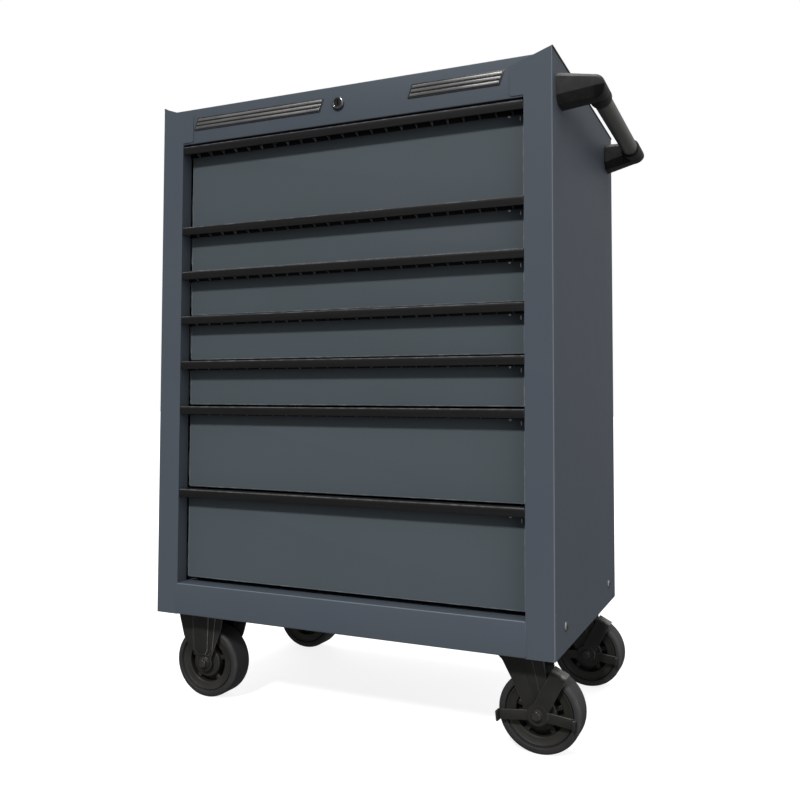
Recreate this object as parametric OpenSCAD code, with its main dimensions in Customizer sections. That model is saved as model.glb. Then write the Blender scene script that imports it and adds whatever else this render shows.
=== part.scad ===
// Rolling tool chest: sheet steel cabinet, seven full-width drawers on telescopic
// slides, a push handle on the right side, two fixed and two swivel casters.
// Origin: floor level, under the middle of the whole chest. Front faces -Y, handle is on +X.

/* [Cabinet] */
// Width over the side panels
cab_w = 700; // [600:1:900]
// Depth from bottom rail to back panel
cab_d = 546; // [480:1:640]
// Thickness of the cabinet sheet
sheet = 1.2; // [0.8:0.1:2]
// Width of the flange on each side of the drawer opening
flange_w = 43; // [36:1:60]
// How far the flange turns back beside the drawers
return_d = 28; // [24:1:34]
// Outside radius of the bend at each front corner
bend_r = 2.5; // [2.2:0.1:5]
// Width of the flange that holds the back panel
rear_flange = 20; // [12:1:30]
// Ledge turned in at the foot of each side panel
foot_flange = 15; // [8:1:20]
// Width of the ear at the top of each side panel
ear_w = 64; // [50:1:80]
// Height of the ear's lower edge below the cabinet top
ear_depth = 70; // [64:1:80]
// Fall of the ear's sloping top edge
ear_fall = 23; // [5:1:35]
// Radius of the ear's inner corner
ear_r = 4; // [1:0.5:8]
// Height of the panel above the drawers
fascia_h = 63; // [50:1:70]
// Depth of the fascia's top below the cabinet top
fascia_drop = 10; // [4:1:14]
// Depth of the fascia's folded edges
fascia_fold = 18; // [10:1:24]
// Height of the rail under the drawers
rail_h = 54; // [40:1:80]
// Depth of the rail's top fold
rail_fold = 58; // [24:1:62]
// Lap of the rail over each flange
rail_lap = 1.5; // [1:0.5:4]
// Corner cut at the rail's upper ends
rail_cut = 2; // [0.5:0.5:4]
// Depth of the floor of the top tray below the cabinet top
tray_depth = 25; // [20:1:30]
// Height of the tray's turned-up rim
tray_rim = 9; // [4:1:12]
// Thickness of the mat in the top tray
mat_t = 4; // [2:0.5:6]
// Height of the rubber edging on the side panels
edging_h = 3.5; // [2:0.5:6]
// Wall of the rubber edging
edging_t = 1; // [0.6:0.1:1.5]
// Clearance between folded sheets that lie side by side
sheet_gap = 0.3; // [0.2:0.1:0.6]

/* [Drawers] */
// Pitch of a shallow drawer
short_h = 80; // [70:1:90]
// Pitch of a deep drawer
tall_h = 146; // [120:1:160]
// Pitch of the lowest drawer
bottom_h = 160; // [130:1:170]
// Distance of the drawer fronts behind the cabinet front
front_recess = 26; // [22:1:30]
// Gap between a drawer front and the next pull
gap_v = 3; // [2:0.5:8]
// Gap between a drawer front and each flange
gap_h = 5; // [3:0.5:8]
// Depth of the hem around a drawer front
front_hem = 4.5; // [2:0.5:5]
// Gap between each end of a pull and the flange
pull_gap = 1.1; // [0.8:0.1:2]
// Height of a pull
pull_h = 14; // [11:0.5:18]
// Wall of a pull
pull_t = 1.8; // [1.2:0.1:2.4]
// Depth of the lip at the pull's lower edge
pull_lip = 4; // [3:0.5:6]
// Height of the ribs inside a pull
rib_h = 4; // [2:0.5:5]
// Spacing of the ribs inside a pull
rib_pitch = 26; // [20:1:40]
// Height of the drawer floor above the foot of its pitch
tub_lift = 8; // [6:1:12]
// Height of the drawer sides below the top of its pitch
tub_drop = 15; // [15:1:24]
// Space between the drawers and the back panel, where the lock bar runs
rear_room = 36.4; // [32:0.2:60]

/* [Slides] */
// Height of the fixed slide channel
slide_h = 45; // [40:1:50]
// Width of a slide across its three members
slide_w = 12.7; // [12:0.1:14]
// Thickness of the slide steel
slide_t = 1.3; // [1:0.1:1.5]
// Gap between the slides' rear ends and the back panel
slide_back = 15.6; // [6:0.2:40]
// Width of a slide post
post_w = 30; // [20:1:36]

/* [Lock] */
// Radius of the lock's chrome ring
ring_r = 10.5; // [8:0.5:13]
// How far the ring stands out from the fascia
ring_proud = 5; // [3:0.5:7]
// Radius of the turning plug
plug_r = 6.5; // [5:0.5:7.5]
// Running clearance of turning parts, on the radius
run_gap = 0.06; // [0.02:0.01:0.09]
// Radius of the rod from the lock to the back
rod_r = 3; // [2:0.5:4]
// Lift of the lock bar in a quarter turn of the plug
lock_lift = 10; // [8:0.5:12]
// Width of the lock bar
bar_w = 30; // [24:1:40]
// Thickness of the lock bar
bar_t = 3; // [2:0.5:4]

/* [Handle] */
// Distance of the tube's axis from the side panel
handle_out = 51; // [40:1:70]
// Depth of the tube's axis below the cabinet top
handle_drop = 55; // [45:1:90]
// Radius of the handle tube
tube_r = 14; // [11:0.5:18]
// Wall of the sockets round the tube
socket_t = 3; // [2:0.5:5]
// Distance from the cabinet's front and back to the handle arms
arm_inset = 26; // [20:1:60]
// Width of an arm at the panel
arm_w = 59; // [45:1:70]
// Height of an arm at the panel
arm_h = 48; // [40:1:60]
// How far an arm's outer end is set in from its foot
arm_skew = 16; // [0:1:24]
// Length of the socket beyond the arm's outer end
socket_len = 22; // [10:1:30]

/* [Casters] */
// Height from the top of a wheel to the face of its caster's top plate
fork_rise = 41; // [36:1:60]
// Depth of the cabinet floor above the cabinet's lower edge
floor_recess = 12; // [6:1:20]
// Radius of the wheels
wheel_r = 62; // [50:0.5:76]
// Width of the tyres
wheel_w = 51; // [40:1:62]
// Thickness of the tyres
tyre_t = 12; // [8:0.5:15]
// Radius of the rounded edge of the tyre
tyre_round = 6; // [3:0.5:8]
// Gap between a caster's top plate and the ledge of the side panel
plate_gap = 0.8; // [0.4:0.1:12]
// Distance from the front and back flanges to a caster's top plate
plate_inset = 23.8; // [16:0.2:40]
// Distance of the wheel axle behind the swivel axis
trail = 38; // [30:1:40]
// Length of a caster's top plate across the cabinet
plate_l = 113; // [94:1:136]
// Width of a caster's top plate
plate_w = 102; // [96:1:124]
// Thickness of a caster's top plate
plate_t = 3.5; // [2.5:0.5:5]
// Thickness of the fork legs
leg_t = 3.2; // [2.5:0.1:4]
// Clearance between the hub and a leg
hub_gap = 1; // [0.5:0.1:2]
// Radius of the axle bolts
axle_r = 5; // [4:0.5:6]
// Radius of the caster bolts
bolt_r = 4; // [3:0.5:5]
// Reach of the brake lever from the axle
lever_reach = 66; // [60:1:70]

/* [Hidden] */
$fn = 48;
eps = 0.5;
drawer_count = 7;

pitches = [tall_h, short_h, short_h, short_h, short_h, tall_h, bottom_h];
function stack(i) = i == 0 ? 0 : pitches[i - 1] + stack(i - 1);
fascia_gap = 4;
rail_gap = 4.7;
drawers_h = fascia_gap + stack(drawer_count) + rail_gap;
cab_h = fascia_drop + fascia_h + drawers_h + rail_h + sheet_gap;

caster_h = 2 * wheel_r + fork_rise;
base_z = caster_h - floor_recess;
cab_top = base_z + cab_h;
side_top = cab_top - edging_t;
front_y = sheet;
ring_reach = ring_proud - 2 * sheet;
side_bolt_head = 3;
handle_reach = handle_out + tube_r + socket_t;
cab_x = -cab_w / 2 - (handle_reach - side_bolt_head) / 2;
cab_y = -(cab_d - ring_reach) / 2;
mid_x = cab_w / 2;

back_in = cab_d - 2 * sheet;
skin_y = front_recess;
fascia_y = front_y + sheet;
fascia_top = cab_top - fascia_drop;
fascia_bottom = fascia_top - fascia_h;
ear_z = cab_top - ear_depth;
tray_z = cab_top - tray_depth;
floor_t = 1.5;
floor_y = front_y + return_d + sheet_gap;
doubler_t = 3;
floor_top = caster_h + floor_t;

function foot(i) = fascia_bottom - fascia_gap - stack(i + 1);
function head(i) = foot(i) + pitches[i];

post_out = 10;
post_t = 1.5;
post_face = flange_w - 0.5;
slide_y = max(front_y + return_d, skin_y + sheet + front_hem) + 1.3;
slide_len = back_in - slide_back - slide_y;
slide_z = short_h / 2;
solid_gap = 0.2;
tub_x = post_face + slide_w + solid_gap;
tub_t = 1;
tub_back = back_in - rear_room;
member_gap = 1.3;
runner_d = 5.5;
mid_offset = slide_w - runner_d - member_gap - slide_t;
mid_d = 5.6;
channel_d = slide_w - 3.5;
mid_h = slide_h - 9.8;
runner_h = slide_h - 21;
member_len = slide_len - 25;

lock_z = tray_z - 15;
barrel_r = plug_r + 2;
plug_y1 = 34;
bar_y = back_in - 12 - bar_t;
catch_z = short_h - tub_drop - 15;
catch_h = lock_lift - 2;
catch_gap = 3;
catch_len = 14;
catch_t = 2;
hook_h = 10;
crank = lock_lift / (2 * sin(45));
crank_drop = lock_lift / 2;
bar_x = mid_x + crank_drop - bar_w / 2;
slot_play = 0.6;
pin_r = 2.5;

handle_z = cab_top - handle_drop;
tube_x = cab_w + handle_out;
arm_end = arm_inset + arm_skew;
socket_y0 = arm_end + arm_w - 4;

caster_x = sheet + foot_flange + plate_gap + plate_l / 2;
caster_y = front_y + plate_inset + plate_w / 2;
axle_z = wheel_r;
core_r = wheel_r - tyre_t;
hub_half = wheel_w / 2 + 2;
leg_in = hub_half + hub_gap;
leg_out = leg_in + leg_t;
leg_tip = 15;
head_r = 9;
head_t = 8;
lever_t = 4;
lever_y = leg_out + 1;
crown_t = 4;
race_h = 11;
race_r = 32;
crown_top = caster_h - plate_t - race_h - sheet_gap;
king_r = 6;
crown_x0 = -race_r + 2;
crown_x1 = race_r + 14;
plate_hole_x = plate_l / 2 - 12;
hex_r = bolt_r + 2.5;
plate_hole_y = leg_out + hex_r + plate_gap;
side_bolt_z = base_z + 36;
screw_r = 3;
screw_len = 12;
screw_half = 14;

corners = ["left_front", "left_rear", "right_front", "right_rear"];

slate = [0.29, 0.33, 0.37];
charcoal = [0.1, 0.1, 0.1];
zinc = [0.72, 0.73, 0.74];

// ---- helpers ----

// Places its children in the cabinet's own corner: x from the left, y from the front
module cab() {
    translate([cab_x, cab_y, 0]) children();
}

// Box between two opposite corners
module block(a, b) {
    translate(a) cube(b - a);
}

// Outline drawn in X and Z, thick from y0 to y1
module xz_plate(y0, y1) {
    translate([0, y1, 0]) rotate([90, 0, 0]) linear_extrude(y1 - y0) children();
}

// Outline drawn in Y and Z, run from x0 to x1
module yz_bar(x0, x1) {
    translate([x0, 0, 0]) rotate([90, 0, 90]) linear_extrude(x1 - x0) children();
}

// Same shape on the left and, mirrored, on the right of the cabinet
module both_sides() {
    children();
    on_right() children();
}

module on_right() {
    translate([cab_w, 0, 0]) mirror([1, 0, 0]) children();
}

// Cylinder along Y from y0 to y1
module y_rod(r, y0, y1) {
    translate([0, y0, 0]) rotate([-90, 0, 0]) cylinder(r = r, h = y1 - y0);
}

// Cylinder along X from x0 to x1
module x_rod(r, x0, x1) {
    translate([x0, 0, 0]) rotate([0, 90, 0]) cylinder(r = r, h = x1 - x0);
}

// Points of an arc about c
function arc(c, r, a0, a1, n = 6) =
    [for (k = [0:n]) let (a = a0 + (a1 - a0) * k / n) c + r * [cos(a), sin(a)]];

// ---- cabinet ----

// The side panel seen from above: wall, front flange with its return, rear flange
function side_plan() = concat(
    [[0, cab_d]],
    arc([bend_r, front_y + bend_r], bend_r, 180, 270),
    [[flange_w, front_y], [flange_w, front_y + return_d]],
    [[flange_w - sheet, front_y + return_d], [flange_w - sheet, front_y + sheet]],
    arc([bend_r, front_y + bend_r], bend_r - sheet, 270, 180),
    [[sheet, cab_d - sheet], [rear_flange, cab_d - sheet], [rear_flange, cab_d]]
);

function slope_z(x) = side_top - ear_fall * x / ear_w;

module ear() {
    xz_plate(front_y, front_y + sheet)
        polygon(concat(
            [[flange_w - eps, ear_z]],
            arc([ear_w - ear_r, ear_z + ear_r], ear_r, -90, 0),
            [[ear_w, slope_z(ear_w)], [flange_w - eps, slope_z(flange_w - eps)]]
        ));
}

module side_panel() {
    color(slate) {
        difference() {
            translate([0, 0, base_z]) linear_extrude(side_top - base_z) polygon(side_plan());
            block(
                [flange_w - sheet - eps, front_y + sheet, fascia_bottom - sheet_gap],
                [flange_w + eps, front_y + return_d + eps, side_top + eps]
            );
            block(
                [flange_w - sheet - eps, front_y + sheet, base_z - eps],
                [flange_w + eps, front_y + return_d + eps, floor_top + doubler_t + sheet_gap]
            );
            xz_plate(front_y - eps, front_y + return_d + eps)
                polygon([
                    [sheet, slope_z(sheet)],
                    [ear_w, slope_z(ear_w)],
                    [ear_w, side_top + eps],
                    [sheet, side_top + eps]
                ]);
            side_bolt_places() x_rod(bolt_r + sheet_gap, -eps, 2 * sheet);
        }
        ear();
        block(
            [sheet - eps, floor_y, base_z],
            [sheet + foot_flange, cab_d - sheet - eps, base_z + sheet]
        );
    }
}

// The right panel: the left one mirrored, with holes for the handle's screws
module side_panel_right() {
    color(slate) difference() {
        on_right() side_panel();
        for (rear = [false, true]) at_arm(rear) screw_places()
            x_rod(screw_r + sheet_gap, cab_w - 2 * sheet, cab_w + eps);
    }
}

module side_bolt_places() {
    for (y = [caster_y, cab_d - caster_y]) translate([0, y, side_bolt_z]) children();
}

// Back panel with pressed ribs outside and guides for the lock bar inside
module back_panel() {
    rib_w = 14;
    color(slate) {
        block(
            [sheet + sheet_gap, back_in, base_z + sheet + sheet_gap],
            [cab_w - sheet - sheet_gap, back_in + sheet, cab_top - fascia_drop]
        );
        for (k = [1:3]) {
            z = base_z + k * cab_h / 4;
            block([3 * rear_flange, back_in, z], [cab_w - 3 * rear_flange, cab_d, z + rib_w]);
        }
        for (i = [1, 4]) bar_guide(foot(i) + tub_lift);
    }
}

// Staple that holds the lock bar against the back
module bar_guide(z) {
    guide_h = 12;
    guide_t = 2;
    x0 = bar_x - sheet_gap;
    x1 = bar_x + bar_w + sheet_gap;
    y0 = bar_y - sheet_gap;
    block([x0 - guide_t, y0 - guide_t, z], [x1 + guide_t, y0, z + guide_h]);
    block([x0 - guide_t, y0 - eps, z], [x0, back_in + eps, z + guide_h]);
    block([x1, y0 - eps, z], [x1 + guide_t, back_in + eps, z + guide_h]);
}

module floor_holes(z0, z1) {
    caster_places() for (x = [-1, 1], y = [-1, 1])
        translate([x * plate_hole_x, y * plate_hole_y, z0])
            cylinder(r = bolt_r + sheet_gap, h = z1 - z0);
}

// Repeats its children at the middle of the four caster plates
module caster_places() {
    for (x = [caster_x, cab_w - caster_x], y = [caster_y, cab_d - caster_y])
        translate([x, y, 0]) children();
}

module bottom_pan() {
    x0 = sheet + sheet_gap;
    skirt_z = base_z + sheet + sheet_gap;
    color(slate) difference() {
        union() {
            block([x0, floor_y, caster_h], [cab_w - x0, back_in - sheet_gap, floor_top]);
            block([x0, floor_y, skirt_z], [x0 + floor_t, back_in - sheet_gap, floor_top]);
            block(
                [cab_w - x0 - floor_t, floor_y, skirt_z],
                [cab_w - x0, back_in - sheet_gap, floor_top]
            );
            block(
                [x0, back_in - sheet_gap - floor_t, skirt_z],
                [cab_w - x0, back_in - sheet_gap, floor_top]
            );
        }
        floor_holes(caster_h - eps, floor_top + eps);
    }
}

// Plates that stiffen the cabinet floor over the casters
module caster_doublers() {
    color(zinc) difference() {
        caster_places() block(
            [-plate_l / 2, floor_y - caster_y, floor_top],
            [plate_l / 2, caster_y - floor_y, floor_top + doubler_t]
        );
        floor_holes(floor_top - eps, floor_top + doubler_t + eps);
    }
}

module top_tray() {
    x0 = sheet + sheet_gap;
    y0 = fascia_y + sheet + sheet_gap;
    y1 = back_in - sheet_gap;
    hanger_y = tub_back - 40;
    color(slate) difference() {
        union() {
            block([x0, y0, tray_z], [cab_w - x0, y1, tray_z + sheet]);
            block([x0, y0, tray_z], [x0 + sheet, y1, tray_z + tray_rim]);
            block([cab_w - x0 - sheet, y0, tray_z], [cab_w - x0, y1, tray_z + tray_rim]);
            block([x0, y0, tray_z], [cab_w - x0, y0 + sheet, tray_z + tray_rim]);
            block([x0, y1 - sheet, tray_z], [cab_w - x0, y1, tray_z + tray_rim]);
            block(
                [mid_x - plug_r, hanger_y, lock_z - 2 * rod_r],
                [mid_x + plug_r, hanger_y + sheet, tray_z + eps]
            );
        }
        translate([mid_x, 0, lock_z]) y_rod(rod_r + run_gap, hanger_y - eps, hanger_y + sheet + eps);
    }
}

module top_mat() {
    x0 = 2 * sheet + 3 * sheet_gap;
    y0 = fascia_y + 2 * sheet + 3 * sheet_gap;
    color(charcoal) block(
        [x0, y0, tray_z + sheet],
        [cab_w - x0, back_in - sheet - 3 * sheet_gap, tray_z + sheet + mat_t]
    );
}

module top_fascia() {
    x0 = bend_r + sheet_gap;
    top_fold = fascia_y + 2 * sheet + 3 * sheet_gap + 4;
    color(slate) difference() {
        union() {
            block([x0, fascia_y, fascia_bottom], [cab_w - x0, fascia_y + sheet, fascia_top]);
            block(
                [x0, fascia_y, fascia_bottom],
                [cab_w - x0, fascia_y + fascia_fold, fascia_bottom + sheet]
            );
            block([x0, fascia_y, fascia_top - sheet], [cab_w - x0, top_fold, fascia_top]);
        }
        translate([mid_x, 0, lock_z]) y_rod(barrel_r + sheet_gap, -eps, fascia_fold);
    }
}

module bottom_rail() {
    x0 = flange_w - rail_lap;
    z0 = base_z + sheet_gap;
    z1 = z0 + rail_h;
    fold_x = flange_w + sheet_gap;
    fold_y = front_y + return_d - 4;
    color(slate) {
        xz_plate(0, sheet)
            polygon([
                [x0, z0],
                [cab_w - x0, z0],
                [cab_w - x0, z1 - rail_cut],
                [cab_w - x0 - rail_cut, z1],
                [x0 + rail_cut, z1],
                [x0, z1 - rail_cut]
            ]);
        block([fold_x, 0, z1 - sheet], [cab_w - fold_x, rail_fold, z1]);
        block([fold_x, 0, z0], [cab_w - fold_x, fold_y, z0 + sheet]);
    }
}

// C-shaped uprights behind the flanges, open towards the side panels
module slide_posts() {
    z0 = floor_top + doubler_t;
    color(zinc) both_sides() for (y = [caster_y - 9, cab_d - caster_y + 9 - post_w]) {
        block([post_face - post_t, y, z0], [post_face, y + post_w, tray_z]);
        block([post_out, y, z0], [post_face, y + post_t, tray_z]);
        block([post_out, y + post_w - post_t, z0], [post_face, y + post_w, tray_z]);
    }
}

// Channel section of a slide: web at x0 facing +X, h high, w deep
module channel(x0, h, w, y0, y1) {
    block([x0, y0, -h / 2], [x0 + slide_t, y1, h / 2]);
    block([x0, y0, h / 2 - slide_t], [x0 + w, y1, h / 2]);
    block([x0, y0, -h / 2], [x0 + w, y1, -h / 2 + slide_t]);
}

module slide_channels() {
    color(zinc) both_sides() for (i = [0:drawer_count - 1])
        translate([0, 0, foot(i) + slide_z])
            channel(post_face, slide_h, channel_d, slide_y, slide_y + slide_len);
}

module slide_middle(i) {
    color(zinc) both_sides() translate([0, 0, foot(i) + slide_z])
        channel(post_face + mid_offset, mid_h, mid_d, slide_y + 2, slide_y + member_len);
}

module edge_trims() {
    color(charcoal) both_sides() difference() {
        block(
            [-edging_t, front_y + 2 * sheet, cab_top - edging_h],
            [sheet + edging_t, cab_d, cab_top]
        );
        block(
            [0, front_y, cab_top - edging_h - eps],
            [sheet, cab_d + eps, side_top]
        );
        block(
            [0, cab_d - sheet - sheet_gap, cab_top - edging_h - eps],
            [sheet + 2 * edging_t, cab_d + eps, side_top]
        );
    }
}

// Two plain trim plates with sloping ends and raised bars, one each side of the lock
module badge_plates() {
    badge_h = 23;
    badge_z = fascia_top - 17 - badge_h;
    color("silver") {
        badge(ear_w + 1, mid_x - 26, badge_z, badge_h);
        badge(mid_x + 121, cab_w - ear_w - 7, badge_z, badge_h);
    }
}

module badge(x0, x1, z0, h) {
    badge_t = 1.2;
    lean = 8;
    edge = 3;
    xz_plate(fascia_y - badge_t, fascia_y)
        polygon([[x0, z0], [x1 - lean, z0], [x1, z0 + h], [x0 + lean, z0 + h]]);
    for (k = [0:2]) {
        z = z0 + edge + k * (h - edge) / 3;
        s = lean * (z - z0) / h;
        bar_h = (h - edge) / 3 - edge;
        r = lean * bar_h / h;
        xz_plate(fascia_y - 2 * badge_t, fascia_y - badge_t + 0.1)
            polygon([
                [x0 + s + edge, z],
                [x1 - lean + s - edge, z],
                [x1 - lean + s + r - edge, z + bar_h],
                [x0 + s + r + edge, z + bar_h]
            ]);
    }
}

// ---- lock ----

module lock_housing() {
    bevel = 1;
    color("silver") translate([mid_x, 0, lock_z]) difference() {
        union() {
            y_rod(ring_r, -ring_reach + bevel, fascia_y);
            translate([0, -ring_reach, 0]) rotate([-90, 0, 0])
                cylinder(r1 = ring_r - bevel, r2 = ring_r, h = bevel);
            y_rod(barrel_r, fascia_y - eps, plug_y1 - 6);
        }
        y_rod(plug_r + run_gap, -ring_reach - eps, plug_y1);
    }
}

module lock_plug() {
    key_w = 1.6;
    key_h = 8;
    color("dimgray") translate([mid_x, 0, lock_z]) difference() {
        y_rod(plug_r, -ring_reach + 0.6, plug_y1);
        block([-key_w / 2, -ring_reach, -key_h / 2], [key_w / 2, 8, key_h / 2]);
    }
}

// Rod to the back of the cabinet, with a crank arm and its pin
module lock_rod() {
    arm_y = bar_y - 5;
    arm_t = 3;
    color(zinc) translate([mid_x, 0, lock_z]) {
        y_rod(rod_r, plug_y1, arm_y + eps);
        xz_plate(arm_y, arm_y + arm_t)
            rotate(-45) union() {
                circle(r = rod_r + 2);
                translate([0, -rod_r]) square([crank, 2 * rod_r]);
                translate([crank, 0]) circle(r = rod_r);
            }
        translate([crank_drop, 0, -crank_drop]) y_rod(pin_r, arm_y + arm_t - eps, bar_y + bar_t + 2);
    }
}

// Flat bar behind the drawers; its hooks rise behind the drawer catches
module lock_bar() {
    slot_z = lock_z - crank_drop;
    z0 = foot(drawer_count - 1) + 10;
    top = slot_z + pin_r + 5;
    slot_x0 = mid_x + crank_drop - pin_r - slot_play;
    slot_x1 = mid_x + crank + pin_r + slot_play;
    hook_y = tub_back + 4;
    color(zinc) difference() {
        union() {
            block([bar_x, bar_y, z0], [bar_x + bar_w, bar_y + bar_t, top]);
            for (i = [0:drawer_count - 1]) {
                z = foot(i) + catch_z - catch_h - catch_gap - hook_h;
                block([mid_x - 8, hook_y, z], [mid_x + 8, bar_y + eps, z + catch_t]);
                block([mid_x - 8, hook_y, z], [mid_x + 8, hook_y + catch_t, z + hook_h]);
            }
        }
        block(
            [slot_x0, bar_y - eps, slot_z - pin_r - slot_play],
            [slot_x1, bar_y + bar_t + eps, slot_z + pin_r + slot_play]
        );
    }
}

// ---- drawers ----

// Painted front and box of drawer i, and the two inner slide members on its sides
module drawer(i) {
    z0 = foot(i) + tub_lift;
    z1 = head(i) - tub_drop;
    x0 = tub_x;
    x1 = cab_w - tub_x;
    y0 = skin_y + sheet - eps;
    color(slate) {
        drawer_front(i);
        block([x0, y0, z0], [x1, tub_back, z0 + tub_t]);
        block([x0, y0, z0], [x0 + tub_t, tub_back, z1]);
        block([x1 - tub_t, y0, z0], [x1, tub_back, z1]);
        block([x0, tub_back - tub_t, z0], [x1, tub_back, z1]);
        catch_plate(foot(i) + catch_z);
    }
    color(zinc) both_sides() translate([0, 0, foot(i) + slide_z])
        runner();
}

// The front skin with its hem turned back at the sides and the foot
module drawer_front(i) {
    x0 = flange_w + gap_h;
    z0 = foot(i) + gap_v;
    z1 = head(i) - pull_t;
    y1 = skin_y + sheet + front_hem;
    block([x0, skin_y, z0], [cab_w - x0, skin_y + sheet, z1]);
    block([x0, skin_y, z0], [cab_w - x0, y1, z0 + sheet]);
    block([x0, skin_y, z0], [x0 + sheet, y1, z1]);
    block([cab_w - x0 - sheet, skin_y, z0], [cab_w - x0, y1, z1]);
}

// Inner slide member on the left side of a drawer, open towards the cabinet's wall
module runner() {
    translate([post_face + slide_w, 0, 0]) mirror([1, 0, 0])
        channel(0, runner_h, runner_d, slide_y + 4, slide_y + member_len);
}

// Bent plate on the drawer's back that the lock bar's hook rises behind
module catch_plate(z) {
    half = 12;
    y1 = tub_back + catch_len;
    block([mid_x - half, tub_back - eps, z], [mid_x + half, y1, z + catch_t]);
    block([mid_x - half, y1 - catch_t, z - catch_h], [mid_x + half, y1, z + catch_t]);
}

// Full-width pull: a hollow section open at the bottom, with ribs inside
module pull(i) {
    x0 = flange_w + pull_gap;
    x1 = cab_w - x0;
    z1 = head(i);
    z0 = z1 - pull_h;
    back = skin_y;
    count = floor((x1 - x0) / rib_pitch);
    first = (x1 - x0 - (count - 1) * rib_pitch) / 2;
    color(charcoal) {
        yz_bar(x0, x1)
            polygon([
                [front_y, z0],
                [front_y + pull_lip, z0],
                [front_y + pull_lip, z0 + pull_t],
                [front_y + pull_t, z0 + pull_t],
                [front_y + pull_t, z1 - pull_t],
                [back - pull_t, z1 - pull_t],
                [back - pull_t, z0 + pull_t],
                [back, z0 + pull_t],
                [back, z1 - pull_t],
                [back + sheet, z1 - pull_t],
                [back + sheet, z1],
                [front_y + 0.6, z1],
                [front_y, z1 - 0.6]
            ]);
        for (k = [0:count - 1]) {
            x = x0 + first + k * rib_pitch;
            block(
                [x, front_y + pull_t - 0.1, z1 - pull_t - rib_h],
                [x + pull_t, back - pull_t + 0.1, z1 - pull_t + 0.1]
            );
        }
    }
}

// ---- handle ----

// Repeats its children for the front arm, or mirrored for the rear one
module at_arm(rear) {
    if (rear) translate([0, cab_d + front_y, 0]) mirror([0, 1, 0]) children();
    else children();
}

// An upright eight-sided outline, y wide and z high, with unequal corner cuts
module arm_outline(w, h, cut_top, cut_foot) {
    polygon([
        [cut_foot, 0],
        [w - cut_foot, 0],
        [w, cut_foot],
        [w, h - cut_top],
        [w - cut_top, h],
        [cut_top, h],
        [0, h - cut_top],
        [0, cut_foot]
    ]);
}

module handle_arm(rear) {
    foot_t = 2;
    nose = 8;
    nose_taper = 6;
    cut_top = 7;
    cut_foot = 12;
    r = tube_r + socket_t;
    color(charcoal) at_arm(rear) difference() {
        union() {
            hull() {
                translate([0, arm_inset, handle_z - arm_h / 2 - 2])
                    yz_bar(cab_w, cab_w + foot_t) arm_outline(arm_w, arm_h, cut_top, cut_foot);
                translate([tube_x, 0, handle_z]) {
                    y_rod(r, arm_end + nose, socket_y0);
                    y_rod(r - nose_taper, arm_end, arm_end + nose);
                }
            }
            translate([tube_x, 0, handle_z])
                y_rod(r, socket_y0 - eps, socket_y0 + socket_len);
        }
        translate([tube_x, 0, handle_z])
            y_rod(tube_r + run_gap, socket_y0 - socket_len, socket_y0 + socket_len + eps);
        screw_places() x_rod(screw_r + run_gap, cab_w - eps, cab_w + screw_len + 2);
    }
}

// Where the two screws of an arm pass through the side panel
module screw_places() {
    for (s = [-1, 1])
        translate([0, arm_inset + arm_w / 2 + s * screw_half, handle_z - 2]) children();
}

module handle_tube() {
    y0 = socket_y0 - socket_len + 1;
    color(charcoal) translate([tube_x, 0, handle_z]) y_rod(tube_r, y0, cab_d + front_y - y0);
}

// The handle's screws, and button-head bolts with nuts low on each side
module panel_bolts() {
    head_r = 8;
    head_dome = 2.5;
    nut_t = 4;
    color("gray") {
        for (rear = [false, true]) at_arm(rear) screw_places() {
            x_rod(screw_r, cab_w - sheet - eps, cab_w + screw_len);
            x_rod(2 * screw_r, cab_w - sheet - nut_t, cab_w - sheet);
        }
        both_sides() side_bolt_places() {
            translate([-side_bolt_head, 0, 0]) rotate([0, 90, 0])
                cylinder(r1 = head_r - head_dome, r2 = head_r, h = side_bolt_head);
            x_rod(bolt_r, -eps, sheet + nut_t);
            translate([sheet, 0, 0]) rotate([0, 90, 0]) cylinder(r = head_r - 1, h = nut_t, $fn = 6);
        }
    }
}

// ---- casters ----

// A leg plate in X and Z about the axle's own upright line: half widths at heights
module rigid_leg_outline() {
    z1 = caster_h - plate_t;
    half = plate_l / 2;
    polygon(concat(
        [[half, z1], [-half, z1], [-half + 2, z1 - 20], [-half + 14, z1 - 62]],
        arc([0, axle_z], leg_tip, 150, 390, 10),
        [[half - 14, z1 - 62], [half - 2, z1 - 20]]
    ));
}

module rigid_rib_outline() {
    z0 = axle_z + 16;
    z1 = caster_h - plate_t;
    polygon([[20, z1], [-20, z1], [-18, z0 + 8], [-10, z0], [10, z0], [18, z0 + 8]]);
}

module plate_holes() {
    for (x = [-1, 1], y = [-1, 1])
        translate([x * plate_hole_x, y * plate_hole_y, caster_h - plate_t - eps])
            cylinder(r = bolt_r + sheet_gap, h = plate_t + 2 * eps);
}

// Top plate and two pressed legs of a fixed caster
module rigid_fork() {
    rib_t = 4;
    difference() {
        union() {
            block([-plate_l / 2, -plate_w / 2, caster_h - plate_t], [plate_l / 2, plate_w / 2, caster_h]);
            for (s = [0, 1]) mirror([0, s, 0]) {
                xz_plate(-leg_out, -leg_in) rigid_leg_outline();
                xz_plate(-leg_out - rib_t, -leg_out + 0.1) rigid_rib_outline();
            }
        }
        plate_holes();
        translate([0, 0, axle_z]) y_rod(axle_r + run_gap, -plate_w, plate_w);
    }
}

// Axle bolt with a hexagon head at the front and a nut at the back
module axle_bolt(front, back) {
    translate([0, 0, axle_z]) {
        y_rod(axle_r, -front - eps, back + eps);
        for (y = [-front, back + head_t])
            translate([0, y, 0]) rotate([90, 0, 0]) cylinder(r = head_r, h = head_t, $fn = 6);
    }
}

module left_places() {
    for (y = [caster_y, cab_d - caster_y]) translate([caster_x, y, 0]) children();
}

module rigid_forks() {
    color(charcoal) left_places() rigid_fork();
}

module rigid_axles() {
    color("dimgray") left_places() axle_bolt(leg_out, leg_out);
}

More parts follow.
